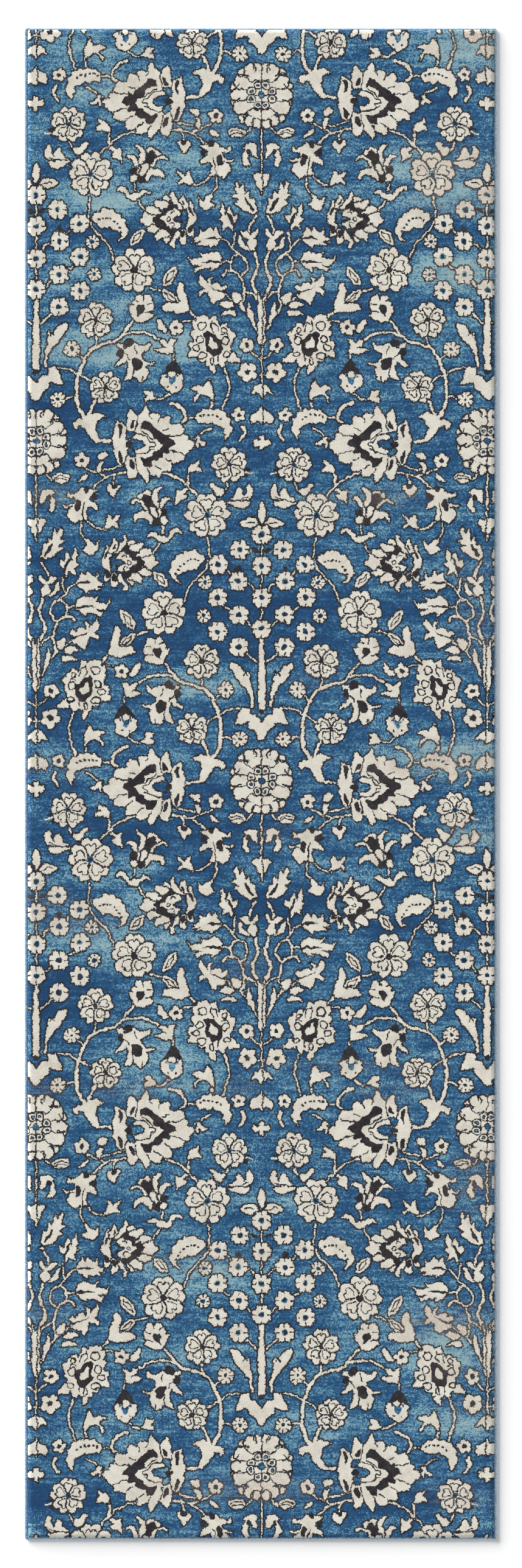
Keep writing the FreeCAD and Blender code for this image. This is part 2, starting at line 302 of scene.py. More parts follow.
def turned(points, u, v, radius, degrees):
    a = math.radians(degrees)
    p = np.asarray(points, float) * radius
    return np.stack([u + p[:, 0] * math.cos(a) - p[:, 1] * math.sin(a),
                     v + p[:, 0] * math.sin(a) + p[:, 1] * math.cos(a)], 1)


PETAL_TURN = 88          # degrees to the first petal


def five_petals(u, v, radius, blue_eye=False):
    """Heart-shaped petals, each with a veined loop, round a dark eye."""
    for k in range(5):
        angle = PETAL_TURN + 72 * k
        draw([("fill", spline(turned(PETAL, u, v, radius, angle), True))])
        vein = spline(turned(PETAL_VEIN, u, v, radius, angle), False)
        ink(("line", vein, np.full(len(vein), 0.9)))
    if blue_eye:
        paint_field(disc(u, v, 0.17 * radius))
        ink(disc(u, v, 0.11 * radius))
    else:
        ink(disc(u, v, 0.16 * radius))


def tree_flower(u, v):
    """Squarish flower of four notched arms with a blue and charcoal eye."""
    scale = 0.92         # of the listed outline
    quarter = [(0, 13), (2, 15.5), (9, 15.5), (10.5, 11), (11, 9), (15, 8.5), (16, 5), (16, 2)]
    right = quarter + [(14, 0)] + [(a, -b) for a, b in reversed(quarter)]
    whole = right + [(-a, b) for a, b in reversed(right[1:-1])]
    draw([fill(*[(u + a * scale, v + b * scale) for a, b in whole])])
    for a, b in ((0, 1), (1, 0), (0, -1), (-1, 0)):
        ink(line(1.2, (u + a * 13 * scale, v + b * 13 * scale),
                 (u + a * 10 * scale, v + b * 10 * scale)))
    paint_field(disc(u, v, 5.2 * scale))
    ink(disc(u, v, 3.4 * scale))


def button_flower(u, v, radius, blue_eye=False):
    """Small round flower of eight petals."""
    lobes = [disc(u + 0.68 * radius * math.cos(a), v + 0.68 * radius * math.sin(a), 0.36 * radius)
             for a in np.radians(np.arange(22.5, 360, 45))]
    draw(lobes + [disc(u, v, 0.7 * radius)])
    for a in np.radians(np.arange(0, 360, 45)):
        ink(line(1.2, (u + 0.9 * radius * math.cos(a), v + 0.9 * radius * math.sin(a)),
                 (u + 0.6 * radius * math.cos(a), v + 0.6 * radius * math.sin(a))))
    if blue_eye:
        paint_field(disc(u, v, 0.36 * radius))
    ink(disc(u, v, 0.23 * radius))


def star_flower(u, v, radius, turn=90, eye=0.3):
    """Tiny flower of five round petals."""
    petals = [disc(u + 0.62 * radius * math.cos(a), v + 0.62 * radius * math.sin(a), 0.4 * radius)
              for a in np.radians(turn + 72 * np.arange(5))]
    draw(petals)
    ink(disc(u, v, eye * radius))


# ---- the repeat, back to front ----------------------------------------------------

def draw_vines():
    draw([
        line(7, (80, 34), (70, 50), (66, 68), (66, 90), (68, 104), (73, 118), (80, 134),
             (90, 147), (100, 151), (114, 156), (128, 159), (138, 167), (148, 180), (157, 191),
             taper=0.6),
        line(3, (68, 104), (62, 110), (54, 115), (42, 117), (30, 117)),
        line(3, (70, 105), (80, 100), (90, 93)),
        line(3, (64, 70), (56, 71), (48, 66)),
        line(3, (77, 128), (73, 134), (66, 139)),
        line(3, (92, 148), (96, 157), (98, 170)),
        line(5, (82, 34), (87, 46), (92, 58), (97, 66)),
        line(4, (138, 167), (150, 171), (165, 172), (178, 171), (190, 165), (200, 159)),
        fill((124, -1), (102, 1), (95, 19), (99, 31), (112, 37), (97, 44), (88, 42), (80, 34),
             (68, 34), (60, 29), (60, 21), (66, 18), (70, 24), (77, 22), (85, 8), (96, -3),
             (124, -6))])
    for stem in (
            (3, (221, 138), (222, 127)),
            (3.2, (218, 74), (210, 69), (204, 64), (194, 64), (186, 69)),
            (3, (184, 243), (195, 240), (204, 237)),
            (3.6, (246, 208), (251, 201), (258, 195)),
            (2.6, (258, 190), (248, 189), (240, 188), (235, 184)),
            (3.4, (303, 117), (306, 106), (310, 96), (311, 82), (308, 68), (303, 52), (299, 40)),
            (3, (87, 392), (85, 378), (84, 362), (87, 350), (92, 340), (104, 328), (116, 314),
             (123, 298), (125, 290))):
        draw([line(*stem)])
    draw([line(3, (54, 480), (60, 468), (70, 460)), line(3.4, (103, 459), (110, 468), (118, 474),
               (128, 485), (140, 491), (152, 496), (164, 498)), line(4, (118, 474), (118, 497)),
          line(3, (52, 448), (60, 444))])
    draw([line(3.4, (206, 498), (220, 499), (236, 497), (250, 493), (262, 485), (274, 474)),
          line(3, (234, 497), (238, 488), (239, 480)),
          line(3, (250, 493), (262, 498), (274, 503), (284, 508))])
    for stem in (
            (3, (252, 408), (262, 409), (272, 414), (282, 424), (288, 432)),
            (3, (290, 428), (292, 410), (290, 402), (284, 393), (280, 386)),
            (3, (164, 386), (170, 375), (177, 366)),
            (3, (160, 402), (159, 414), (160, 422)),
            (3, (255, 33), (244, 32), (238, 26)),
            (3, (282, 16), (270, 9), (262, 2), (256, 0)),
            (4, (282, 46), (285, 62), (283, 78), (279, 94))):
        draw([line(*stem)])
    draw([line(2.6, (344, 142), (352, 134), (363, 126)), line(2.6, (350, 101), (364, 102)),
          line(2.4, (364, 165), (364, 88))])
    draw([line(3, (338, 490), (346, 497), (351, 504))])
    draw([line(2.6, (COLUMN, 424), (COLUMN, 503))])
    draw([line(3, (100, -49), (118, -48), (132, -44), (144, -38))])


def draw_dotted_tree():
    draw([line(2.6, (0, 230), (0, 420))])
    draw(both(line(3, (5, 188), (14, 196), (30, 210)), *veins(
        2.6, ((16, 248), (24, 258), (32, 264)), ((48, 274), (60, 280), (68, 288)),
        ((11, 308), (16, 316), (26, 320)), ((49, 331), (56, 342), (64, 346)))))
    ink(*both(blob((3, 369), (10, 376), (19, 375), (12, 369)), disc(38, 342, 5, 5)))
    draw([blob((0, 449), (-5, 440), (-6, 428), (0, 416), (6, 428), (5, 440))])
    draw(both(blob((6, 414), (12, 424), (22, 423), (35, 416), (22, 408), (13, 410))))
    ink(*both(line(1.3, (12, 415), (20, 418), (26, 416))))
    half = [(0, 66), (5, 69), (9, 77), (14, 83), (20, 86), (22, 95), (33, 92), (43, 91),
            (38, 106), (32, 118), (19, 118), (19, 107), (10, 106), (0, 93)]
    draw([fill(*half, *[(-u, v) for u, v in reversed(half[1:-1])])])
    leaf = [(13, 119), (17, 119), (18, 136), (26, 150), (38, 162), (47, 176), (51, 186), (48, 190),
            (36, 186), (30, 176), (26, 173), (20, 176), (19, 160), (15, 145)]
    draw(both(fill(*leaf)))
    ink(*both(line(1.3, (27, 174), (30, 170)), line(1.3, (23, 170), (25, 174))))
    trunk = [(5.5, 115), (5.5, 185), (3.5, 208), (3, 232)]
    draw([fill(*trunk, *[(-u, v) for u, v in reversed(trunk)])])
    ink(disc(0, 112, 5, 4))
    for u, v in ((37, 216), (71, 241), (37, 268), (71, 296), (38, 322), (70, 349), (35, 373)):
        tree_flower(u, v)
    for v in (245, 295, 347, 397):
        tree_flower(0, v)
    button_flower(58, 147, 12.5)
    button_flower(35, 67, 12)
    button_flower(94, 267, 10.5, blue_eye=True)
    button_flower(91, 320, 10.5, blue_eye=True)


def draw_rosette():
    petals = [disc(8, 44, 7.5), disc(31, 36, 6.5), disc(19, 41, 9), disc(42, 14, 7),
              disc(32, 21, 12), disc(43, -11, 6), disc(40, 0, 9.5), disc(33, -19, 12),
              disc(31, -37, 6.5), disc(19, -42, 9), disc(8, -46, 7)]
    for petal in petals:
        draw(both(petal))
    draw([disc(0, 0, 34, 39)], outline=False)
    eyes = ((6, 16), (17, 6), (17, -6), (6, -17))
    ink(*both(*[ring_line(1.2, u, v, 6.6) for u, v in eyes]))
    ink(*both(*veins(
        1.2, ((23, 8), (35, 11), (48, 9)), ((23, -7), (35, -10), (47, -7)),
        ((15, 20), (26, 28), (28, 31)), ((15, -21), (26, -29), (28, -32)),
        ((0, 24), (10, 24), (15, 20)), ((0, -24), (10, -24), (15, -20)),
        ((27, 40), (30, 32), (37, 31)), ((27, -41), (30, -33), (37, -32)),
        ((37, 19), (42, 10), (48, 9)), ((14, 49), (13, 42)),
        ((14, -49), (13, -42)), ((0, 0), (12, 0)))))
    ink(line(1.3, (0, 50), (0, -50)))
    for u, v in eyes:
        ink(*both(disc(u, v, 3.2)))
        paint_field(*both(disc(u, v, 1.7)))
    ink(disc(0, 0, 6))
    paint_field(disc(0, 0, 4.6))


def draw_large_palmette():
    draw([fill(
        (123, 2), (128, 20), (129, 31), (133, 29), (141, 25), (145, 19), (147, 33), (150, 46),
        (153, 49), (158, 42), (163, 36), (171, 44), (175, 51), (178, 55), (182, 46), (183, 39),
        (189, 41), (196, 42), (200, 38), (200, 32), (207, 35), (213, 37), (217, 32), (216, 24),
        (223, 22), (231, 24), (237, 19), (239, 12), (239, 7), (244, 6), (246, 1), (245, -3),
        (252, -4), (256, -9), (254, -15), (248, -20), (246, -25), (239, -27), (239, -36),
        (230, -38), (222, -40), (217, -38), (219, -47), (218, -53), (209, -53), (202, -50),
        (203, -58), (199, -62), (190, -60), (183, -56), (183, -64), (179, -71), (173, -64),
        (168, -56), (165, -53), (160, -62), (153, -66), (149, -62), (146, -50), (144, -36),
        (136, -42), (131, -37), (127, -24), (124, -18), (125, -10), (123, -5))])
    ink(blob((132, 24), (137, 25), (140, 18), (138, 8), (134, 3), (134, 14)),
        blob((151, 17), (155, 27), (160, 30), (158, 19)),
        blob((132, -20), (137, -22), (140, -32), (138, -40), (134, -34)),
        blob((150, -35), (156, -34), (160, -46), (158, -50), (152, -44)))
    paint_field(blob((147, 10), (154, 12), (159, 9), (152, 2), (147, 0)),
                blob((148, -18), (150, -25), (158, -28), (158, -21), (153, -14)), outline=True)
    paint_field(blob((152, 0), (160, -2), (170, -3), (174, -7), (172, -12), (163, -15), (154, -14)),
                outline=True)
    ink(blob((143, -9), (148, -4), (154, -5), (156, -9), (152, -13), (146, -13)))
    ink(fill((168, 14), (170, 24), (175, 29), (183, 28), (187, 22), (196, 15), (203, 10),
             (209, 4), (216, 8), (216, 1), (223, -3), (226, -10), (218, -13), (214, -16),
             (217, -21), (215, -25), (204, -23), (204, -30), (195, -35), (187, -36),
             (186, -46), (176, -45), (170, -36), (168, -30), (180, -31), (189, -27),
             (190, -22), (198, -18), (205, -10), (200, -4), (189, -1), (188, 8),
             (182, 13), (172, 16)))
    ink(*veins(
        1.4, ((160, 9), (170, 7), (178, 4), (181, -1), (184, -5), (191, -6), (192, -11),
        (185, -12), (184, -16), (180, -21), (170, -24), (161, -25)), ((170, 12), (180, 6),
        (188, -2)), ((180, -22), (186, -17), (190, -16)), ((183, 38), (187, 33)), ((199, 32),
        (198, 26)), ((205, 12), (214, 16)), ((216, 4), (232, 5), (237, 8)), ((218, -19),
        (230, -22), (239, -26)), ((208, -31), (217, -36)), ((191, -42), (200, -49)), ((179, -48),
        (183, -55)), ((164, -52), (161, -40), (160, -32)), ((164, 37), (163, 26), (160, 14)),
        ((145, 19), (146, 12)), ((144, -36), (146, -28), (150, -25))))


# The small palmette's petals, back to front, then its dark heart and what lies in it.
SMALL_PALMETTE = [
    [(246, 382), (251, 383), (252, 377), (254, 370), (258, 361), (258, 353), (256, 347),
     (254, 345), (252, 338), (254, 331), (253, 325), (249, 326), (244, 330), (242, 338),
     (243, 344), (246, 353), (244, 363), (243, 370), (247, 375)],
    [(232, 384), (236, 391), (239, 393), (241, 387), (243, 382), (245, 377), (246, 372),
     (242, 371), (238, 371), (234, 376), (232, 381)],
    [(217, 395), (219, 398), (222, 397), (222, 393), (225, 388), (229, 384), (232, 377),
     (237, 370), (231, 370), (228, 373), (224, 377), (221, 381), (217, 387)],
    [(204, 386), (209, 391), (215, 388), (216, 384), (213, 381), (210, 380), (207, 382),
     (205, 385)],
    [(191, 384), (196, 385), (203, 383), (209, 382), (215, 377), (212, 373), (207, 372),
     (203, 370), (198, 372), (192, 377)],
    [(178, 370), (180, 374), (188, 375), (195, 373), (197, 368), (200, 367), (204, 363),
     (196, 363), (191, 360), (185, 362), (179, 366)],
    [(236, 337), (241, 338), (243, 333), (242, 327), (242, 318), (240, 314), (236, 315),
     (232, 319), (232, 325), (234, 331)],
    [(228, 335), (232, 332), (232, 327), (229, 322), (225, 321), (223, 317), (223, 308),
     (218, 309), (216, 316), (220, 322), (223, 327), (226, 330)],
    [(206, 321), (209, 326), (214, 329), (217, 327), (215, 323), (213, 319), (210, 316),
     (207, 317)],
    [(192, 328), (197, 334), (203, 337), (210, 336), (215, 331), (213, 327), (208, 325),
     (204, 323), (198, 322), (193, 320)],
    [(178, 337), (181, 343), (188, 345), (194, 344), (197, 341), (204, 341), (198, 337),
     (192, 333), (185, 332), (180, 334)],
    [(167, 354), (173, 358), (174, 365), (179, 365), (185, 362), (193, 360), (191, 355),
     (190, 352), (194, 346), (188, 348), (182, 343), (177, 343), (174, 347), (169, 350)],
]


def draw_small_palmette():
    for petal in SMALL_PALMETTE:
        draw([blob(*petal)])
    ink(fill(
        (216, 382), (221, 382), (227, 375), (228, 371), (223, 371), (219, 369), (214, 367),
        (210, 364), (209, 361), (204, 359), (200, 356), (201, 352), (205, 350), (209, 348),
        (212, 342), (216, 339), (220, 337), (225, 335), (227, 333), (222, 328), (217, 326),
        (214, 330), (209, 336), (204, 338), (196, 340), (193, 343), (194, 347), (190, 351),
        (189, 355), (193, 359), (199, 362), (204, 364), (205, 369), (211, 372), (214, 376)))
    draw([fill(
        (210, 364), (214, 367), (219, 367), (223, 371), (228, 370), (232, 368), (234, 361),
        (228, 360), (226, 358), (221, 355), (220, 353), (225, 350), (229, 348), (235, 347),
        (231, 342), (226, 338), (222, 340), (219, 339), (212, 342), (212, 346), (209, 349),
        (201, 353), (201, 357), (209, 359))])
    paint_field(fill(
        (233, 368), (237, 367), (242, 364), (243, 355), (241, 345), (237, 339), (233, 340),
        (234, 345), (237, 348), (235, 351), (228, 351), (224, 354), (228, 357), (233, 358),
        (236, 359), (236, 364)), outline=True)
    ink(blob((235, 384), (237, 384), (239, 380), (240, 376), (237, 376), (235, 380)),
        blob((247, 372), (251, 372), (253, 366), (254, 360), (251, 361), (248, 366)),
        blob((245, 340), (252, 345), (253, 342), (251, 331), (247, 331), (245, 335)),
        blob((235, 334), (241, 336), (241, 328), (237, 323), (234, 328)))
    ink(line(1.2, (218, 362), (219, 365), (222, 366), (225, 365)),
        line(1.2, (211, 354), (214, 357), (217, 354), (214, 351), (211, 352)),
        line(1.2, (216, 347), (221, 348), (223, 344), (221, 342)))


def lily():
    draw([fill((131, 155), (139, 155), (142, 147), (150, 149), (154, 156), (160, 155), (167, 151),
               (178, 150), (184, 156), (186, 151), (183, 145), (169, 137), (171, 129), (179, 122),
               (193, 124), (189, 120), (177, 117), (182, 111), (180, 104), (178, 97), (170, 92),
               (162, 94), (160, 100), (155, 100), (150, 96), (141, 95), (147, 106), (149, 118),
               (146, 127), (139, 121), (127, 116), (128, 120), (136, 127), (142, 138), (140, 147),
               (131, 149))])
    ink(disc(149, 156, 7.5, 7), disc(136, 140, 5.8, 6),
        blob((154, 129), (163, 131), (171, 124), (170, 112), (163, 110), (157, 116)),
        line(1.3, (159, 150), (162, 138)), line(1.3, (154, 128), (157, 112), (156, 101)),
        line(1.3, (142, 138), (148, 134), (150, 128)), line(1.3, (171, 94), (172, 101)))


def lily_small():
    draw([fill((265, 472), (276, 474), (283, 474), (290, 477), (296, 471), (308, 466), (313, 472),
               (314, 462), (300, 460), (301, 452), (312, 448), (321, 451), (316, 445), (303, 447),
               (312, 441), (314, 432), (309, 425), (302, 419), (294, 424), (284, 424), (280, 424),
               (284, 436), (282, 446), (274, 444), (265, 440), (266, 448), (277, 456), (278, 462))])
    ink(disc(283, 474, 4.5, 6), disc(270, 461, 5, 6),
        blob((291, 453), (297, 458), (301, 450), (301, 440), (294, 441)),
        line(1.3, (289, 424), (289, 440), (286, 452)))


# The upright lily's petals, back to front.
UPRIGHT_LILY = [
    [(178.5, 462.5), (180, 468.5), (185, 470), (189, 469), (192, 466), (196, 465.5),
     (199, 462), (201, 459), (196, 456), (193, 459.5), (191, 464), (186, 464.5),
     (182.5, 462), (180, 460.5)],
    [(161, 474), (164, 475.5), (170, 471), (175, 467), (176.5, 461.5), (175.5, 454),
     (174.5, 449), (171.5, 444), (168.5, 440.5), (167, 434.5), (165, 436.5), (164.5, 441.5),
     (165, 446.5), (167, 452.5), (169, 459), (168, 464), (165, 468.5)],
    [(145.5, 453.5), (148.5, 458), (155.5, 458.5), (160.5, 455), (164, 449.5), (164.5, 445.5),
     (165, 440.5), (162, 439), (159, 441.5), (156.5, 446.5), (155, 450.5),
     (151.5, 453), (148, 454.5)],
    [(213, 448.5), (210.5, 453), (206, 455.5), (199.5, 455.5), (194.5, 453), (191, 450.5),
     (187.5, 446.5), (184.5, 442), (183.5, 438), (187.5, 439), (191, 443), (193.5, 447.5),
     (198.5, 451), (204.5, 452), (209.5, 449.5)],
    [(163.5, 440), (167, 438), (167.5, 433), (167, 428), (168.5, 425.5), (165, 426),
     (163, 430.5), (163.5, 435.5)],
    [(183.5, 437.5), (191, 436), (197, 435), (203.5, 432), (206.5, 426.5), (207, 421.5),
     (205, 419.5), (202, 423), (198.5, 426), (192, 426), (187.5, 425), (182.5, 421),
     (180, 417), (177, 416.5), (175.5, 422), (177.5, 428.5), (181, 433.5)],
    [(171.5, 441.5), (175, 444), (180, 442), (180, 437), (178, 432), (174, 428),
     (170.5, 424.5), (168, 428), (169.5, 433), (170.5, 438)],
    [(153.5, 425.5), (158, 427.5), (162.5, 426), (163, 420.5), (161, 416), (155.5, 415.5),
     (152.5, 419.5)],
]


def draw_upright_lily():
    """Open petals round a dark heart, with two dark beads at the base."""
    ink(blob((185, 466), (191, 464.5), (194, 458), (191.5, 452), (188, 447),
             (185, 440.5), (181.5, 439), (178.5, 444), (175, 448), (176.5, 454),
             (178.5, 460.5)))
    for petal in UPRIGHT_LILY:
        draw([blob(*petal)])
    ink(disc(169.5, 419, 6, 6.5), disc(156.5, 433.5, 5.5, 6))


def draw_blossoms():
    five_petals(112, 84.5, 24.5)
    five_petals(96, 193.2, 27.5)
    five_petals(158, 272.5, 34.5)
    five_petals(88, 428.5, 34.5, blue_eye=True)
    five_petals(52, 510, 27.5, blue_eye=True)
    lily()
    lily_small()
    draw([fill((149, 215), (157, 215), (154, 220), (159, 225), (162, 232), (168, 233), (173, 229),
               (178, 233), (184, 232), (187, 225), (190, 217), (189, 208), (184, 205), (190, 199),
               (181, 193), (171, 189), (162, 190), (157, 196), (152, 206))])
    ink(fill((163, 197), (171, 203), (176, 210), (174, 216), (164, 216), (161, 209), (164, 204)),
        line(1.3, (176, 204), (189, 207)), line(1.3, (173, 229), (172, 223)),
        line(1.3, (159, 225), (164, 222)), line(1.3, (187, 218), (180, 217)))
    draw([fill((199, 159), (208, 160), (212, 154), (216, 159), (225, 161), (222, 154), (222, 144),
               (220, 137), (211, 136), (199, 140), (192, 143), (199, 146), (206, 147), (202, 154))])
    ink(line(1.3, (204, 149), (210, 147)))
    draw([blob((220, 73), (211, 79), (203, 86), (201, 94), (203, 101), (210, 106), (216, 101),
               (224, 101), (230, 106), (238, 99), (235, 92), (236, 84), (230, 78))])
    ink(fill((205, 104), (210, 114), (217, 124), (222, 127), (229, 121), (236, 106), (231, 102),
             (226, 106), (214, 106), (209, 103)))
    draw([disc(219, 104, 5.5, 5.5)])
    paint_field(fill((214, 98), (225, 98), (224, 90), (219, 86), (215, 91)),
                fill((209, 98), (213, 98), (212, 103), (209, 101)),
                fill((227, 98), (230, 99), (230, 103), (226, 102)))
    ink(disc(213, 83, 1.6), disc(226, 83, 1.6))


def draw_ring_flower():
    draw([fill((259, 197), (268, 199), (276, 198), (280, 192), (284, 196), (290, 198), (291, 190),
               (294, 184), (297, 178), (299, 184), (306, 184), (308, 179), (313, 178), (314, 172),
               (319, 172), (322, 166), (318, 158), (317, 150), (313, 146), (313, 138), (320, 137),
               (323, 130), (329, 128), (329, 122), (311, 122), (309, 128), (306, 122), (304, 116),
               (299, 115), (295, 120), (291, 117), (288, 119), (290, 108), (288, 102), (281, 108),
               (279, 116), (274, 117), (274, 124), (264, 124), (261, 131), (246, 131), (245, 136),
               (249, 142), (246, 150), (248, 156), (254, 156), (255, 162), (251, 168), (251, 173),
               (256, 175), (252, 182), (253, 189), (259, 189))])
    ink(fill((276, 173), (281, 170), (288, 168), (294, 161), (301, 158), (301, 148), (299, 138),
             (294, 133), (284, 131), (280, 137), (274, 141), (273, 160), (270, 168)),
        *[ring_line(1.4, *ring) for ring in (
            (268, 181, 7, 7), (264, 159, 5.5, 6), (258, 146, 6, 5), (268, 133, 7, 5.5),
            (308, 135, 5, 4), (306, 157, 6, 6), (284, 124, 3, 6), (304, 174, 4, 4))],
        *veins(1.4, ((283, 189), (282, 180), (286, 171)), ((284, 186), (291, 184), (294, 172)),
               ((300, 166), (308, 168), (310, 162)), ((294, 124), (295, 134))))
    draw([fill((281, 164), (284, 162), (286, 157), (292, 154), (294, 148), (290, 143), (282, 146),
               (279, 150), (280, 157))], outline=False)


def pointed_leaf(u0, v0, u1, v1, wide):
    """Leaf from its stalk to its tip, with a vein on each side of its middle."""
    du, dv = u1 - u0, v1 - v0
    size = math.hypot(du, dv)
    nu, nv = -dv / size * wide, du / size * wide
    draw([blob((u0, v0), (u0 + 0.3 * du + nu, v0 + 0.3 * dv + nv),
               (u0 + 0.7 * du + nu, v0 + 0.7 * dv + nv), (u1, v1),
               (u0 + 0.7 * du - nu, v0 + 0.7 * dv - nv),
               (u0 + 0.3 * du - nu, v0 + 0.3 * dv - nv))])
    foot, tip = (u0 + 0.15 * du, v0 + 0.15 * dv), (u0 + 0.85 * du, v0 + 0.85 * dv)
    ink(*veins(1.2, *[(foot, (u0 + 0.5 * du + bend * nu, v0 + 0.5 * dv + bend * nv), tip)
                      for bend in (0.5, -0.5)]))


def draw_leaves():
    draw([blob((91, 357), (95, 366), (102, 367), (107, 372), (113, 373), (117, 371), (124, 371),
               (128, 366), (135, 365), (138, 358), (144, 355), (145, 346), (149, 338), (146, 330),
               (138, 321), (131, 320), (138, 326), (136, 334), (126, 337), (119, 342), (107, 341),
               (99, 349))])
    ink(*[disc(u, v, 2.3, 1.9) for u, v in (
        (102, 355), (108, 357), (114, 357), (120, 356), (126, 352), (131, 347), (135, 341),
        (138, 335))])
    pointed_leaf(205, 246, 227, 277, 7)
    pointed_leaf(152, 314, 174, 338, 7)
    pointed_leaf(204, 239, 231, 217, 6)
    draw([blob((203, 209), (214, 206), (228, 202), (238, 204), (247, 207), (245, 222), (240, 236),
               (238, 248), (234, 252), (230, 248), (227, 239), (231, 226), (230, 219), (216, 219),
               (208, 217))])
    draw([fill((228, 431), (232, 430), (240, 423), (244, 430), (248, 432), (251, 420), (254, 409),
               (246, 410), (238, 414), (230, 409), (229, 413), (235, 419), (231, 424))])
    draw([fill((174, 78), (186, 78), (190, 70), (195, 65), (186, 62), (175, 60), (174, 66),
               (181, 69), (176, 72))])
    draw([blob((197, 193), (203, 188), (208, 182), (214, 174), (209, 171), (202, 174), (197, 180),
               (195, 188))])
    star_flower(226, 179, 12, turn=100)
    draw([fill((96, 499), (104, 500), (112, 497), (119, 497), (118, 505), (113, 512), (106, 514),
               (101, 519), (100, 513), (104, 508), (98, 504))])
    draw([fill((118, 470), (124, 473), (130, 468), (138, 471), (138, 458), (139, 446), (131, 453),
               (124, 455), (121, 460), (127, 463))])
    draw([blob((20, 478), (14, 468), (16, 459), (24, 454), (40, 452), (52, 448), (40, 456),
               (28, 460), (24, 468), (24, 476)), blob((30, 465), (36, 473), (41, 468), (43, 460),
               (52, 453), (38, 454), (30, 459)), blob((19, 450), (24, 442), (36, 440), (48, 445),
               (55, 449), (40, 452), (28, 451))])
    ink(line(1.3, (22, 458), (34, 454), (50, 450)))
    draw([blob((60, 470), (70, 473), (75, 478), (80, 481), (84, 477), (78, 470), (73, 462),
               (66, 460))])
    ink(blob((17, 502), (26, 505), (38, 502), (30, 499)), blob((22, 492), (27, 497), (34, 495),
        (30, 489)))
    draw([line(3, (15, 496), (26, 498), (36, 497))], outline=False)
    draw([fill((-4, 556), (4, 556), (4, 549), (12, 551), (14, 545), (10, 540), (3, 541), (3, 534),
               (-3, 534), (-3, 541), (-10, 540), (-14, 545), (-12, 551), (-4, 549))])
    draw([blob((128, 400), (133, 408), (142, 407), (148, 402), (152, 394), (158, 397), (168, 397),
               (172, 402), (180, 400), (184, 396), (175, 395), (168, 390), (160, 385), (150, 388),
               (143, 397), (136, 402))])
    draw_upright_lily()
    draw([fill((262, 391), (268, 383), (272, 385), (278, 391), (286, 396), (284, 388), (281, 383),
               (290, 376), (280, 371), (272, 368), (265, 374), (263, 382))])
    star_flower(290, 520, 12, eye=0.34)
    draw([blob((255, 516), (262, 516), (266, 508), (263, 499), (259, 504), (258, 511))])
    draw([blob((281, 497), (286, 497), (296, 486), (289, 487), (284, 490))])
    draw([blob((310, 496), (322, 501), (334, 498), (338, 491), (326, 485), (315, 488))])
    ink(line(1.3, (313, 494), (324, 497), (334, 493)), line(1.3, (315, 490), (325, 492),
        (335, 490)))
    draw([blob((227, 478), (234, 480), (239, 476), (246, 480), (250, 473), (245, 466), (238, 460),
               (234, 468))])
    ink(blob((233, 479), (239, 481), (244, 478), (240, 473), (235, 474)))
    draw([fill((334, 470), (344, 476), (356, 474), (357, 452), (350, 456), (344, 466), (340, 452),
               (345, 440), (338, 438), (332, 448), (334, 458), (339, 466))])
    ink(disc(343, 462, 4, 5))


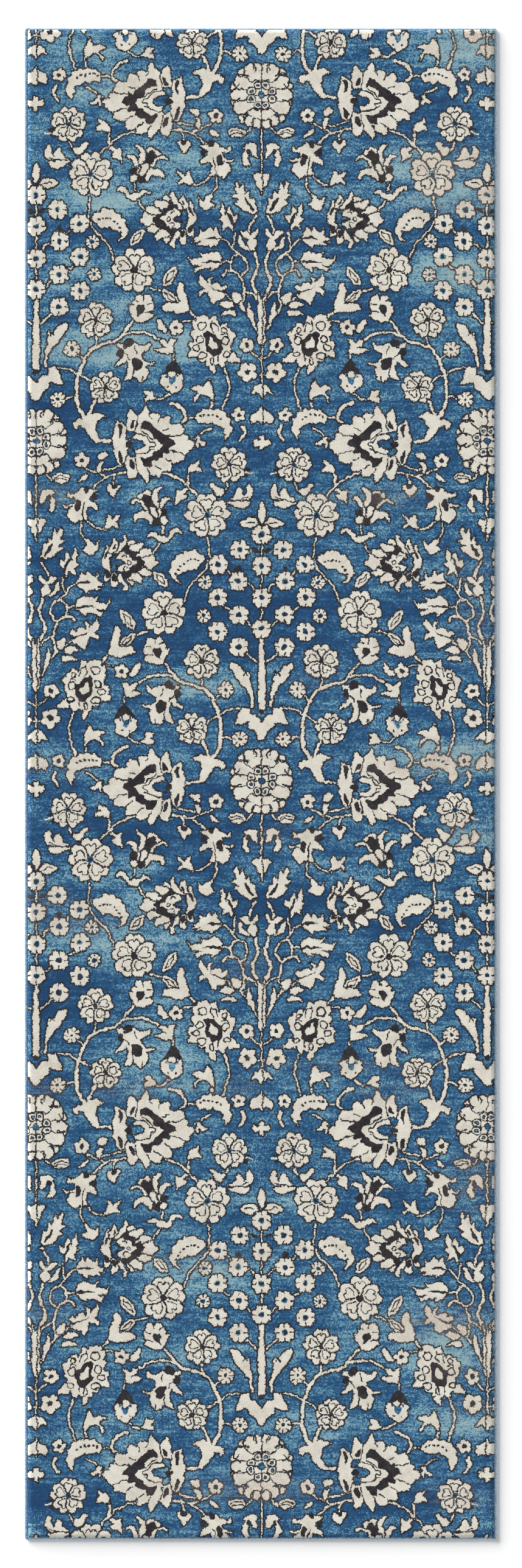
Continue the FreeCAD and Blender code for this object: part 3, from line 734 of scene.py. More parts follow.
def draw_leafy_tree():
    """The tree on the outer mirror axis; only its left half is listed."""
    a = COLUMN
    draw([fill((a, 88), (a - 10, 84), (a - 14, 78), (a - 18, 71), (a - 9, 73), (a - 5, 70),
               (a, 64), (a + 1, 66), (a + 1, 88))])
    draw([fill((a, 52), (a - 5, 44), (a - 15, 40), (a - 19, 30), (a - 15, 23), (a - 6, 27),
               (a, 22), (a + 1, 22), (a + 1, 52))])
    draw([fill((a, 430), (a - 3, 427), (a - 12, 427), (a - 15, 422), (a - 9, 414), (a - 7, 406),
               (a - 3, 404), (a, 392), (a + 1, 392), (a + 1, 430))])
    draw([
        line(6, (a - 6, 232), (a - 12, 242), (a - 15, 254), (a - 9, 268), (a - 6, 280),
             (a - 10, 296), (a - 12, 308), (a - 17, 318), (a - 20, 334), (a - 16, 346),
             (a - 10, 358), taper=0.6),
        line(4, (302, 262), (308, 270), (320, 268), (330, 260), (334, 246), (336, 234), (334, 222),
             (330, 214)),
        line(3.6, (332, 262), (341, 274), (338, 288), (326, 296), (316, 289), (315, 276),
             (318, 268)),
        line(3, (337, 237), (350, 232), (358, 222)),
        line(3.4, (328, 224), (335, 208), (345, 196), (354, 180), (360, 168)),
        line(3, (300, 284), (308, 285), (315, 284)), line(3, (300, 322), (308, 317), (315, 309),
             (320, 302), (327, 297)), line(3, (318, 308), (320, 322), (322, 332)),
        line(3, (306, 232), (312, 226), (320, 219), (328, 216))])
    draw([fill((a - 6, 236), (a - 6, 160), (a - 2, 150), (a + 1, 150), (a + 1, 226), (a - 2, 222))])
    draw([blob((344, 220), (341, 210), (341, 198), (348, 186), (356, 172), (352, 190), (349, 204))])
    draw([fill((244, 296), (250, 288), (262, 291), (268, 291), (262, 302), (268, 297), (276, 298),
               (282, 300), (288, 302), (296, 298), (300, 290), (299, 281), (292, 274), (281, 269),
               (283, 275), (270, 274), (257, 268), (256, 275), (268, 280), (252, 280), (247, 288))])
    ink(fill((266, 284), (280, 287), (298, 286), (299, 281), (284, 283)))
    draw([fill((251, 315), (258, 318), (255, 322), (264, 326), (264, 340), (268, 332), (274, 334),
               (280, 342), (284, 334), (291, 341), (294, 332), (300, 324), (296, 317), (288, 311),
               (281, 307), (280, 312), (270, 312), (259, 311), (266, 318))])
    ink(fill((272, 322), (282, 326), (298, 324), (298, 321), (284, 321)))
    draw([fill((265, 265), (262, 256), (265, 248), (271, 242), (263, 237), (264, 230), (271, 235),
               (278, 236), (280, 226), (287, 216), (292, 222), (303, 226), (308, 232), (302, 237),
               (310, 242), (306, 248), (300, 244), (297, 250), (289, 251), (283, 247), (282, 254),
               (286, 261), (277, 257), (278, 249), (271, 257))])
    ink(fill((274, 250), (284, 240), (300, 234), (306, 230), (305, 236), (292, 239), (282, 243)))
    draw([blob((296, 215), (303, 221), (314, 220), (319, 213), (310, 209), (302, 213)),
          blob((298, 198), (304, 204), (314, 206), (321, 204), (321, 197), (310, 199))])
    draw([blob((316, 233), (318, 222), (326, 217), (332, 224), (330, 230), (322, 234))])
    draw([blob((326, 324), (330, 324), (336, 312), (345, 303), (336, 305), (328, 310)),
          blob((342, 308), (344, 320), (352, 321), (357, 312), (352, 303)),
          blob((330, 332), (340, 334), (346, 326), (356, 338), (358, 330), (350, 322), (340, 322))])
    draw([fill((294, 353), (300, 358), (297, 366), (300, 380), (305, 370), (306, 358), (310, 370),
               (313, 374), (318, 358), (326, 361), (325, 352), (318, 345), (316, 332), (311, 342),
               (300, 336), (303, 346))])
    ink(fill((307, 364), (312, 352), (318, 336), (320, 346), (312, 362)))
    draw([fill((316, 391), (324, 394), (320, 408), (324, 415), (329, 402), (334, 412), (336, 400),
               (338, 392), (344, 399), (346, 386), (352, 386), (357, 366), (350, 362), (336, 366),
               (320, 380), (328, 384))])
    ink(fill((336, 388), (340, 388), (352, 368), (350, 366), (340, 376)))
    star_flower(340, 150, 12, turn=40, eye=0.32)
    star_flower(341, 106, 16, turn=120, eye=0.26)


def draw_side_sprays():
    draw([blob((252, 80), (262, 85), (270, 83), (277, 93), (283, 86), (286, 74), (286, 60),
               (280, 66), (270, 71), (262, 68), (256, 58), (256, 66), (263, 74))])
    draw([fill((257, 33), (260, 40), (265, 41), (269, 47), (275, 45), (281, 49), (287, 45),
               (294, 48), (299, 43), (306, 42), (308, 35), (314, 31), (312, 23), (316, 15),
               (313, 6), (306, -3), (305, 5), (301, 8), (303, 15), (298, 20), (292, 21),
               (286, 26), (278, 23), (270, 26), (262, 24))])
    ink(*[disc(u, v, 2.4, 2.0) for u, v in (
        (265, 35), (271, 37), (278, 37), (285, 37), (292, 35), (298, 31))])
    draw([line(6.5, (217, 57), (227, 54), (236, 47), (241, 38), (239, 29), (233, 25), taper=0.6)])
    star_flower(327, 37, 11, turn=30)
    draw([line(7, (333, 18), (336, 10), (333, 2), (328, -5), taper=0.5)])
    draw([blob((258, 2), (264, 3), (268, -4), (276, -8), (270, -12), (263, -8), (261, -15),
               (257, -9), (260, -3))])
    draw([blob((100, -24), (108, -20), (116, -23), (110, -31), (101, -32))])


def draw_pattern():
    draw_vines()
    draw_leafy_tree()
    draw_side_sprays()
    draw_leaves()
    draw_ring_flower()
    draw_large_palmette()
    draw_small_palmette()
    draw_blossoms()
    draw_dotted_tree()
    draw_rosette()


draw_pattern()

# ---- wear -----------------------------------------------------------------------
# Patches: centre x, y, half width, half height, strength. FADED ones have lost their ivory
# and charcoal to a stony beige; in TONED ones the blue is paler (or, below zero, deeper).
FADED = [
    (345, 1190, 55, 40, 0.9), (-235, 1130, 60, 20, 0.45), (-110, 1062, 60, 18, 0.5),
    (300, 1000, 90, 30, 0.7), (320, 945, 80, 25, 0.8), (-270, 700, 100, 18, 0.45),
    (40, 825, 50, 14, 0.6), (335, 820, 55, 25, 0.75), (-235, 765, 50, 16, 0.4),
    (-330, 465, 45, 16, 0.7), (215, 462, 50, 16, 0.8), (120, 462, 60, 14, 0.35),
    (345, 350, 40, 30, 0.5), (350, 250, 35, 50, 0.55), (-100, 160, 60, 15, 0.6),
    (85, 165, 30, 14, 0.35), (-330, 30, 50, 20, 0.45), (305, 38, 95, 30, 0.95),
    (345, -80, 45, 25, 0.8), (25, -82, 50, 12, 0.4), (-300, -225, 90, 25, 0.5),
    (-30, -300, 50, 25, 0.45), (-345, -200, 40, 40, 0.5), (150, -455, 140, 12, 0.35),
    (-190, -490, 70, 18, 0.65), (-345, -492, 35, 16, 0.6), (-40, -490, 40, 14, 0.5),
    (205, -500, 50, 16, 0.6), (345, -640, 45, 50, 0.75), (-100, -770, 100, 16, 0.5),
    (-345, -850, 40, 20, 0.6), (300, -870, 95, 30, 1.0), (340, -940, 50, 25, 0.6),
    (335, -1020, 55, 25, 0.6), (-40, -1140, 130, 20, 0.65), (320, -1150, 60, 20, 0.4)]
TONED = [
    (-300, 1185, 90, 30, 0.6), (60, 1185, 60, 20, 0.5), (320, 1190, 70, 35, 1.1),
    (-250, 1125, 70, 25, 0.8), (-110, 1065, 100, 25, 0.5), (230, 1085, 90, 40, -0.5),
    (-130, 1005, 90, 30, 0.7), (219, 1000, 50, 30, 0.9), (-250, 945, 90, 28, 1.1),
    (0, 945, 200, 25, 0.5), (300, 945, 90, 25, 0.9), (-60, 885, 330, 28, -0.45),
    (-290, 825, 110, 28, 0.6), (80, 825, 50, 22, 0.7), (320, 825, 70, 30, 1.2),
    (-219, 765, 50, 30, 0.5), (70, 765, 190, 28, -0.6), (-210, 705, 170, 30, 1.1),
    (-315, 600, 70, 35, -0.8), (-60, 525, 330, 26, -0.5), (-150, 470, 60, 20, 0.3),
    (200, 468, 60, 20, 0.3), (-345, 345, 40, 30, -0.7), (-90, 345, 60, 25, -0.6),
    (-30, 285, 260, 28, -0.8), (-60, 225, 200, 25, -0.7), (-100, 163, 70, 22, 1.0),
    (-340, 110, 50, 30, -0.6), (-330, 45, 60, 22, 0.4), (290, 45, 110, 28, 0.9),
    (-60, -15, 300, 22, -0.35), (-170, -78, 200, 28, -0.6), (345, -80, 35, 30, 0.6),
    (-235, -135, 60, 22, 0.5), (90, -135, 80, 20, 0.4), (-90, -135, 50, 22, -0.5),
    (30, -195, 90, 28, -0.9), (-190, -195, 60, 28, 0.6), (-240, -255, 130, 28, 0.8),
    (240, -235, 100, 30, -0.5), (-320, -345, 60, 50, -0.9), (-150, -385, 70, 30, 0.4),
    (-160, -450, 80, 50, 0.7), (-320, -490, 50, 25, -0.5), (-225, -615, 50, 25, 0.6),
    (31, -675, 50, 20, 0.6), (225, -675, 50, 20, -0.5), (-100, -795, 100, 28, 1.0),
    (220, -855, 90, 25, 0.5), (0, -915, 330, 25, 0.4), (285, -915, 100, 30, 1.0),
    (-330, -975, 50, 25, -0.4), (80, -1035, 70, 25, 0.8), (-250, -1040, 70, 22, 0.5),
    (310, -1035, 70, 25, 0.8), (-219, -1095, 50, 28, 0.7), (-320, -1155, 70, 28, -0.8),
    (220, -1155, 110, 25, -0.6), (-130, 548, 70, 28, 0.45), (284, 929, 45, 26, -0.45),
    (320, 994, 60, 28, 0.45), (316, 736, 60, 28, 0.4), (-158, 1122, 40, 26, 0.35),
    (-158, -670, 40, 85, 0.35), (95, -480, 40, 26, 0.35), (-158, -1120, 40, 26, 0.35),
    (-347, 546, 36, 26, 0.3), (-347, -544, 36, 26, 0.3), (221, 353, 40, 26, 0.3),
    (32, 1122, 40, 26, 0.3), (-284, -927, 40, 26, 0.3), (-284, 32, 40, 26, 0.3),
    (347, -1184, 36, 26, 0.3)]


def patchwork(patches, x, y):
    """The strongest patch over each point, for and against added together."""
    above, below = np.zeros(np.shape(x)), np.zeros(np.shape(x))
    for px, py, half_w, half_h, strength in patches:
        reach = np.hypot((x - px) / half_w, (y - py) / half_h)
        cover = strength * np.clip(1.5 - reach, 0, 1)
        above, below = np.maximum(above, cover), np.minimum(below, cover)
    return above + below


EDGE_CELLS = 5           # tufts from each edge over which the pile rolls down
ROLL = EDGE_CELLS * CELL
ROLL_DROP = 2.2
PILE_REST = 0.45         # the blue tufts' tips lie this far below the rug's full height
PILE_WAVE = 0.09         # half height of the slow waves


def pile_z(x, y):
    """Height of the blue tufts: broad slow waves, rolling down at the four edges."""
    wave = math.sin(x / 61 + 0.7) * math.sin(y / 83) + 0.6 * math.sin(x / 97 - y / 71 + 2)
    depth = min(x - LEFT, RIGHT - x, y - FOOT, HEAD - y)
    roll = ROLL_DROP * max(0.0, 1 - depth / ROLL) ** 2
    return HEIGHT - PILE_REST + PILE_WAVE * wave - roll


# ---- meshes -----------------------------------------------------------------------

def add_piece(name, points, faces, nodes, smooth=False):
    """A piece of the rug from points in millimetres, riding on the root body."""
    points = np.asarray(points, float)
    mesh = bpy.data.meshes.new(name)
    mesh.from_pydata((points * MM).tolist(), [], faces)
    mesh.update()
    if smooth:
        mesh.shade_smooth()
    for attribute, patches in (("wear", FADED), ("tone", TONED)):
        layer = mesh.attributes.new(attribute, "FLOAT", "POINT")
        layer.data.foreach_set("value", patchwork(patches, points[:, 0], points[:, 1]))
    piece = bpy.data.objects.new(name, mesh)
    bpy.context.scene.collection.objects.link(piece)
    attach(piece, "root")
    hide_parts(*nodes)
    return piece


ROLL_COLUMNS = [*range(1, EDGE_CELLS + 1), *range(NX - EDGE_CELLS, NX)]


def row_runs(mask):
    """Start and end columns of each row's runs of tufts, cut where the pile rolls down."""
    edges = np.diff(np.pad(mask.astype(np.int8), ((0, 0), (1, 1))), axis=1)
    starts, ends = np.argwhere(edges == 1), np.argwhere(edges == -1)
    runs = [[] for _ in range(len(mask))]
    for (j, a), (_, b) in zip(starts.tolist(), ends.tolist()):
        cuts = [a] + [i for i in ROLL_COLUMNS if a < i < b] + [b]
        runs[j] += zip(cuts, cuts[1:])
    return runs


class Surface:
    """Collects the points and faces of one yarn's tops, sharing points between faces."""

    def __init__(self, lift):
        self.lift, self.points, self.faces, self.index = lift, [], [], {}

    def corner(self, i, j):
        key = (i, j)
        if key not in self.index:
            x, y = LEFT + i * CELL, FOOT + j * CELL
            self.index[key] = len(self.points)
            self.points.append((x, y, pile_z(x, y) + self.lift))
        return self.index[key]

    def add(self, point):
        self.points.append(point)
        return len(self.points) - 1


def tops(surface, mask):
    """Faces over the runs of a mask; rows that line up merge into one face."""
    runs = row_runs(mask)
    marks = [sorted({x for run in (runs[j - 1] if j else []) + (runs[j] if j < NY else [])
                     for x in run}) for j in range(NY + 1)]
    open_runs = {}
    for j in range(NY):
        still = {}
        for a, b in runs[j]:
            bottom = [x for x in marks[j] if a <= x <= b]
            top = [x for x in marks[j + 1] if a <= x <= b]
            held = open_runs.pop((a, b), None)
            if held and len(bottom) == 2:
                start, first = held
            else:
                if held:
                    close_run(surface, a, b, held, j)
                start, first = j, bottom
            level = EDGE_CELLS <= j < NY - EDGE_CELLS - 1
            if level and len(top) == 2 and (a, b) in runs[j + 1]:
                still[(a, b)] = (start, first)
            else:
                face = [surface.corner(x, start) for x in first]
                surface.faces.append(face + [surface.corner(x, j + 1) for x in reversed(top)])
        open_runs = still


def close_run(surface, a, b, held, j):
    start, first = held
    face = [surface.corner(x, start) for x in first]
    surface.faces.append(face + [surface.corner(b, j), surface.corner(a, j)])


# The rim: how far each level of the outermost tufts leans out, and its share of the way down.
RIM = ((0.5, 0.2), (0.7, 0.5), (0.3, 1.0))
RIM_UNEVEN = 0.3
rim_jitter = {side: rng.uniform(-RIM_UNEVEN, RIM_UNEVEN, (max(NX, NY) + 1, len(RIM)))
              for side in range(4)}


def rim(surface, mask, push):
    """Side walls of the outermost tufts, standing down to the serging."""
    sides = ((0, [(0, j) for j in range(NY + 1)], (-1, 0), mask[:, 0]),
             (1, [(NX, j) for j in range(NY + 1)], (1, 0), mask[:, -1]),
             (2, [(i, 0) for i in range(NX + 1)], (0, -1), mask[0]),
             (3, [(i, NY) for i in range(NX + 1)], (0, 1), mask[-1]))
    for side, corners, out, cells in sides:
        columns = {}
        for k in np.flatnonzero(cells):
            for n in (int(k), int(k) + 1):
                if n in columns:
                    continue
                top = surface.corner(*corners[n])
                x, y, z = surface.points[top]
                chain = [top]
                for level, (lean, share) in enumerate(RIM):
                    reach = lean + push + rim_jitter[side][n, level]
                    down = z - share * (z - GROUND_TOP)
                    chain.append(surface.add((x + out[0] * reach, y + out[1] * reach, down)))
                columns[n] = chain
            near_side, far_side = columns[int(k)], columns[int(k) + 1]
            for level in range(len(RIM)):
                surface.faces.append([near_side[level], far_side[level],
                                      far_side[level + 1], near_side[level + 1]])


def yarn_piece(name, mask, lift, nodes):
    surface = Surface(lift)
    tops(surface, mask)
    rim(surface, mask, lift * 0.5)
    return add_piece(name, surface.points, surface.faces, nodes)


FIELD_STEP = 6           # tufts to each face of the field, away from its edges
CHARCOAL_LIFT, IVORY_LIFT = 0.16, 0.32  # how far these tufts stand above the blue ones


def field_piece():
    """The blue pile: a fine sheet of tufts under the drawn yarns, with its own rim."""
    surface = Surface(0.0)
    columns, rows = [sorted({*range(0, count, FIELD_STEP), *range(EDGE_CELLS), *range(
        count - EDGE_CELLS, count + 1)}) for count in (NX, NY)]
    last_row, last_column = len(rows) - 2, len(columns) - 2
    for r, (j0, j1) in enumerate(zip(rows, rows[1:])):
        for c, (i0, i1) in enumerate(zip(columns, columns[1:])):
            bottom = range(i0, i1 + 1) if r == 0 else (i0, i1)
            right = range(j0, j1 + 1) if c == last_column else (j0, j1)
            top = range(i0, i1 + 1) if r == last_row else (i0, i1)
            left = range(j0, j1 + 1) if c == 0 else (j0, j1)
            loop = ([(i, j0) for i in bottom][:-1] + [(i1, j) for j in right][:-1]
                    + [(i, j1) for i in reversed(top)][:-1]
                    + [(i0, j) for j in reversed(left)][:-1])
            surface.faces.append([surface.corner(i, j) for i, j in loop])
    rim(surface, np.ones_like(yarn, bool), 0.0)
    return add_piece("pile_blue_field", surface.points, surface.faces,
                     ["pile_field", "pile_blue_eyes"])


def grid_faces(rows, columns, wrap=False):
    """Quads of a grid of points numbered row by row; wrap closes each row into a ring."""
    faces = []
    for r in range(rows - 1):
        for c in range(columns if wrap else columns - 1):
            d = (c + 1) % columns
            faces.append([r * columns + c, r * columns + d,
                          (r + 1) * columns + d, (r + 1) * columns + c])
    return faces


# ---- serging and cords --------------------------------------------------------------
WRAP_PITCH = 3.03        # one wrap of the overcasting
WRAP_STEPS = 4
WRAP_DEPTH = 0.34
WRAP_SLANT = 0.9         # how far a wrap travels along the edge from back to face
END_LENGTH, END_DRAW = 5, 2.4           # the long edges' yarn draws in over its last stretch
CORD_SHORT = 2.6         # the cords stop this far inside the wraps' closed ends
CORD_LAY = 14.0          # one turn of a cord's strands
CORD_RADIUS, STRAND_SWELL = 1.12, 0.12
CORD_SIDES, STEPS_PER_TURN = 9, 6
TACK_INSETS = (2.0, 3.6)                # from the rug's end
TACK_SPAN, TACK_RADIUS = 3.0, 0.45
EDGE_RADIUS = SERGING_TOP / 2
EDGE_AXIS = HALF_X - EDGE_RADIUS
LIP = EDGE_AXIS - SERGING_INNER

# Cross-section, from the back lip round the outside to the face lip: across, up, share.
FACE_RISE = 1.7          # the yarn puffs up this much on the face
SQUARENESS = 0.6         # below one, the section is squarer than a circle
SECTION = [(-LIP, -1.0), (-LIP / 2, -1.0)]
SECTION += [(EDGE_RADIUS * math.cos(a) ** SQUARENESS,
             math.copysign(abs(math.sin(a)) ** SQUARENESS, a))
            for a in np.radians([-89.9, -65, -40, -18, 0, 18, 40, 65, 89.9])]
SECTION += [(-LIP / 2, 1.0), (-LIP, 1.0), (-LIP, 0.65)]
SECTION = [(across, up * EDGE_RADIUS * (FACE_RISE if up > 0 else 1)) for across, up in SECTION]


def edge_frame(side):
    """Offset of the edge's axis and unit vectors out of and along the rug for one side."""
    out = {"right": (1, 0), "head": (0, 1), "left": (-1, 0), "foot": (0, -1)}[side]
    along = (-out[1], out[0])
    offset = (HALF_X if out[0] else HALF_Y) - EDGE_RADIUS
    half = HALF_Y if out[0] else SERGING_INNER
    return offset, half, out, along


def place_edge(side, across, travel, up):
    offset, _, out, along = edge_frame(side)
    x = out[0] * (offset + across) + along[0] * travel
    y = out[1] * (offset + across) + along[1] * travel
    return np.stack([x, y, EDGE_RADIUS + up], -1)


def serging_piece(side):
    """Overcast yarn: wraps as slanting ribs round the edge cord."""
    half = edge_frame(side)[1]
    wraps = round(2 * half / WRAP_PITCH)
    count = wraps * WRAP_STEPS + 1
    travel = np.linspace(-half, half, count)[:, None]
    section = np.asarray(SECTION)
    share = np.linspace(0, 1, len(section))[None, :]
    phase = 2 * math.pi * (travel * wraps / (2 * half) + WRAP_SLANT * share)
    uneven = np.repeat(rng.uniform(0.75, 1.1, wraps + 1), WRAP_STEPS)[:count, None]
    rise = WRAP_DEPTH * uneven * (0.5 + 0.5 * np.cos(phase)) - WRAP_DEPTH
    normal = np.zeros_like(section)
    normal[:, 0] = np.clip(section[:, 0], 0, None) / EDGE_RADIUS
    normal[:, 1] = section[:, 1] / EDGE_RADIUS
    across = section[None, :, 0] + rise * normal[None, :, 0]
    if side in ("left", "right"):
        end = np.clip((np.abs(travel) - half + END_LENGTH) / END_LENGTH, 0, 0.98)
        across = across - END_DRAW * (1 - np.sqrt(1 - end ** 2))
    up = section[None, :, 1] + rise * normal[None, :, 1]
    points = place_edge(side, across, np.broadcast_to(travel, across.shape), up).reshape(-1, 3)
    size = len(section)
    faces = grid_faces(count, size)
    faces += [list(range(size))[::-1], list(range((count - 1) * size, count * size))]
    nodes = ["serging_" + side]
    return add_piece("serging_wraps_" + side, points, faces, nodes, smooth=True)


def cord_piece(side, node):
    """The laid cord inside the serging, three strands showing as a twisted lobe."""
    half = edge_frame(side)[1] - CORD_SHORT
    turns = 2 * half / CORD_LAY
    count = int(turns * STEPS_PER_TURN)
    travel = np.linspace(-half, half, count)[:, None]
    angle = np.linspace(0, 2 * math.pi, CORD_SIDES, endpoint=False)[None, :]
    twist = np.linspace(0, 2 * math.pi * turns, count)[:, None]
    radius = CORD_RADIUS + STRAND_SWELL * np.cos(3 * angle + twist)
    across, up = radius * np.cos(angle), radius * np.sin(angle)
    points = place_edge(side, across, np.broadcast_to(travel, across.shape), up).reshape(-1, 3)
    faces = grid_faces(count, CORD_SIDES, wrap=True)
    faces += [list(range(CORD_SIDES))[::-1],
              list(range((count - 1) * CORD_SIDES, count * CORD_SIDES))]
    return add_piece("core_" + node, points, faces, [node], smooth=True)


def tack_piece():
    """Locking stitches over the serging at the four corners."""
    points, faces = [], []
    for sx in (-1, 1):
        for sy in (-1, 1):
            for inset in TACK_INSETS:
                y = sy * (HALF_Y - inset)
                start = len(points)
                for t in np.linspace(0, 1, 7):
                    x = sx * (EDGE_AXIS - TACK_SPAN * t)
                    z = SERGING_TOP + 0.05 + TACK_RADIUS * math.sin(math.pi * t)
                    for a in np.linspace(0, 2 * math.pi, 8, endpoint=False):
                        points.append((x, y + TACK_RADIUS * math.cos(a),
                                       z + TACK_RADIUS * math.sin(a)))
                faces += [[start + n for n in f] for f in grid_faces(7, 8, wrap=True)]
    return add_piece("corner_lock_stitches", points, faces, ["corner_tacks"],
                     smooth=True)


# ---- ground cloth, coating, label ------------------------------------------------------
GROUND_RIB_PITCH, GROUND_RIB_DEPTH = 6.0, 0.2
COATING_RIB_PITCH, COATING_RIB_DEPTH = 4.6, 0.25
LABEL_GAP, LABEL_CLEAR = 0.5, 0.03      # from the label to its pocket's walls and ceiling
LABEL_WAVE = 0.05
STITCH_INSET, STITCH_PITCH, STITCH_LENGTH, STITCH_WIDTH = 2.0, 6.0, 3.0, 0.5
STITCH_LEVELS = (0.05, 0.15)
POCKET_WALL = 0.02       # half thickness of the pocket's steep wall
BAR_ROUND = 0.541        # corner radius of an eight-sided bar one unit across its flats


def slab(name, node, rib_pitch, rib_depth, underside, pocket=None):
    """A cloth layer with weft ribs on the side that shows; closed at its edges.

    A pocket (x0, x1, y0, y1, top) is sunk into the underside.
    """
    (x0, y0, z0), (x1, y1, z1) = box_mm(node)
    x = np.linspace(x0, x1, 13)
    y = np.linspace(y0, y1, int(round((y1 - y0) / rib_pitch)) * 4 + 1)
    if pocket:
        x = np.sort(np.append(x, [edge + d for edge in pocket[:2]
                                  for d in (-POCKET_WALL, POCKET_WALL)]))
        y = np.sort(np.append(y, [edge + d for edge in pocket[2:4]
                                  for d in (-POCKET_WALL, POCKET_WALL)]))
    rows, columns = len(y), len(x)
    rib = rib_depth * (0.5 + 0.5 * np.cos(2 * math.pi * (y - y0) / rib_pitch))
    high_z = z1 - (0 * rib if underside else rib)
    low_z = np.repeat(z0 + (rib if underside else 0 * rib), columns)
    if pocket:
        sunk = np.outer((y > pocket[2]) & (y < pocket[3]), (x > pocket[0]) & (x < pocket[1]))
        low_z[sunk.ravel()] = pocket[4]
    low = np.stack([np.tile(x, rows), np.repeat(y, columns), low_z], 1)
    high = np.stack([np.tile(x, rows), np.repeat(y, columns), np.repeat(high_z, columns)], 1)
    total = rows * columns
    faces = [f[::-1] for f in grid_faces(rows, columns)]
    faces += [[n + total for n in f] for f in grid_faces(rows, columns)]
    for r in range(rows - 1):
        for c, flip in ((0, True), (columns - 1, False)):
            a, b = r * columns + c, (r + 1) * columns + c
            wall = [a, b, b + total, a + total]
            faces.append(wall if flip else wall[::-1])
    for c in range(columns - 1):
        for r, flip in ((0, False), (rows - 1, True)):
            a, b = r * columns + c, r * columns + c + 1
            wall = [a, b, b + total, a + total]
            faces.append(wall[::-1] if flip else wall)
    return add_piece(name, np.vstack([low, high]), faces, [node])


def boxes_piece(name, boxes, nodes):
    """Several rounded bars in one piece: each box becomes a flattened eight-sided bar."""
    points, faces = [], []
    for x0, x1, y0, y1, z0, z1 in boxes:
        along_x = (x1 - x0) > (y1 - y0)
        start = len(points)
        for t in (0.0, 1.0):
            for a in np.radians(np.arange(22.5, 360, 45)):
                s = 0.5 + BAR_ROUND * math.cos(a)
                z = z0 + (z1 - z0) * (0.5 + BAR_ROUND * math.sin(a))
                if along_x:
                    points.append((x0 + t * (x1 - x0), y0 + s * (y1 - y0), z))
                else:
                    points.append((x0 + s * (x1 - x0), y0 + t * (y1 - y0), z))
        faces += [[start + n for n in f] for f in grid_faces(2, 8, wrap=True)]
        faces += [[start + n for n in range(8)][::-1], [start + 8 + n for n in range(8)]]
    return add_piece(name, points, faces, nodes)


def stuffer_piece():
    (x0, y0, z0), (x1, y1, z1) = box_mm("stuffer_warps")
    pitch, width = 4.0, 3.2
    count = int(round((x1 - x0 - width) / pitch)) + 1
    bars = [(x0 + k * pitch, x0 + k * pitch + width, y0, y1, z0, z1) for k in range(count)]
    return boxes_piece("stuffer_warp_yarns", bars, ["stuffer_warps"])


def label_pocket():
    """The label's recess in the coating: across, along and its ceiling."""
    (x0, y0, _), (x1, y1, top) = box_mm("care_label")
    return x0 - LABEL_GAP, x1 + LABEL_GAP, y0 - LABEL_GAP, y1 + LABEL_GAP, top + LABEL_CLEAR


def label_pieces():
    """Blank woven label, a little wavy between its stitches."""
    (x0, y0, z0), (x1, y1, z1) = box_mm("care_label")
    nx, ny = 29, 17
    gx, gy = np.meshgrid(np.linspace(x0, x1, nx), np.linspace(y0, y1, ny))
    wave = LABEL_WAVE * np.sin(gx / 4.7) * np.sin(gy / 5.3)
    low = np.stack([gx, gy, z0 + LABEL_WAVE + wave], -1).reshape(-1, 3)
    high = np.stack([gx, gy, z1 + wave * 0.5], -1).reshape(-1, 3)
    total = nx * ny
    faces = [f[::-1] for f in grid_faces(ny, nx)]
    faces += [[n + total for n in f] for f in grid_faces(ny, nx)]
    loop = ([(0, c) for c in range(nx)] + [(r, nx - 1) for r in range(1, ny)]
            + [(ny - 1, c) for c in range(nx - 2, -1, -1)] + [(r, 0) for r in range(ny - 2, 0, -1)])
    ids = [r * nx + c for r, c in loop]
    for a, b in zip(ids, ids[1:] + ids[:1]):
        faces.append([a, b, b + total, a + total])
    label = add_piece("blank_label", np.vstack([low, high]), faces, ["care_label"])
    bars = []
    for k in range(int((x1 - x0 - 2 * STITCH_INSET) // STITCH_PITCH)):
        left = x0 + STITCH_INSET + k * STITCH_PITCH
        for bottom in (y0 + STITCH_INSET, y1 - STITCH_INSET - STITCH_WIDTH):
            bars.append((left, left + STITCH_LENGTH, bottom, bottom + STITCH_WIDTH,
                         *STITCH_LEVELS))
    for k in range(int((y1 - y0 - 4 * STITCH_INSET) // STITCH_PITCH)):
        bottom = y0 + 2 * STITCH_INSET + k * STITCH_PITCH
        for left in (x0 + STITCH_INSET, x1 - STITCH_INSET - STITCH_WIDTH):
            bars.append((left, left + STITCH_WIDTH, bottom, bottom + STITCH_LENGTH,
                         *STITCH_LEVELS))
    stitches = boxes_piece("label_thread_stitches", bars, ["label_stitching"])
    return label, stitches


# ---- materials ---------------------------------------------------------------------------

def srgb(red, green, blue):
    def linear(c):
        c /= 255
        return c / 12.92 if c <= 0.04045 else ((c + 0.055) / 1.055) ** 2.4
    return (linear(red), linear(green), linear(blue), 1.0)


SPECULAR = 0.15          # yarn hardly shines


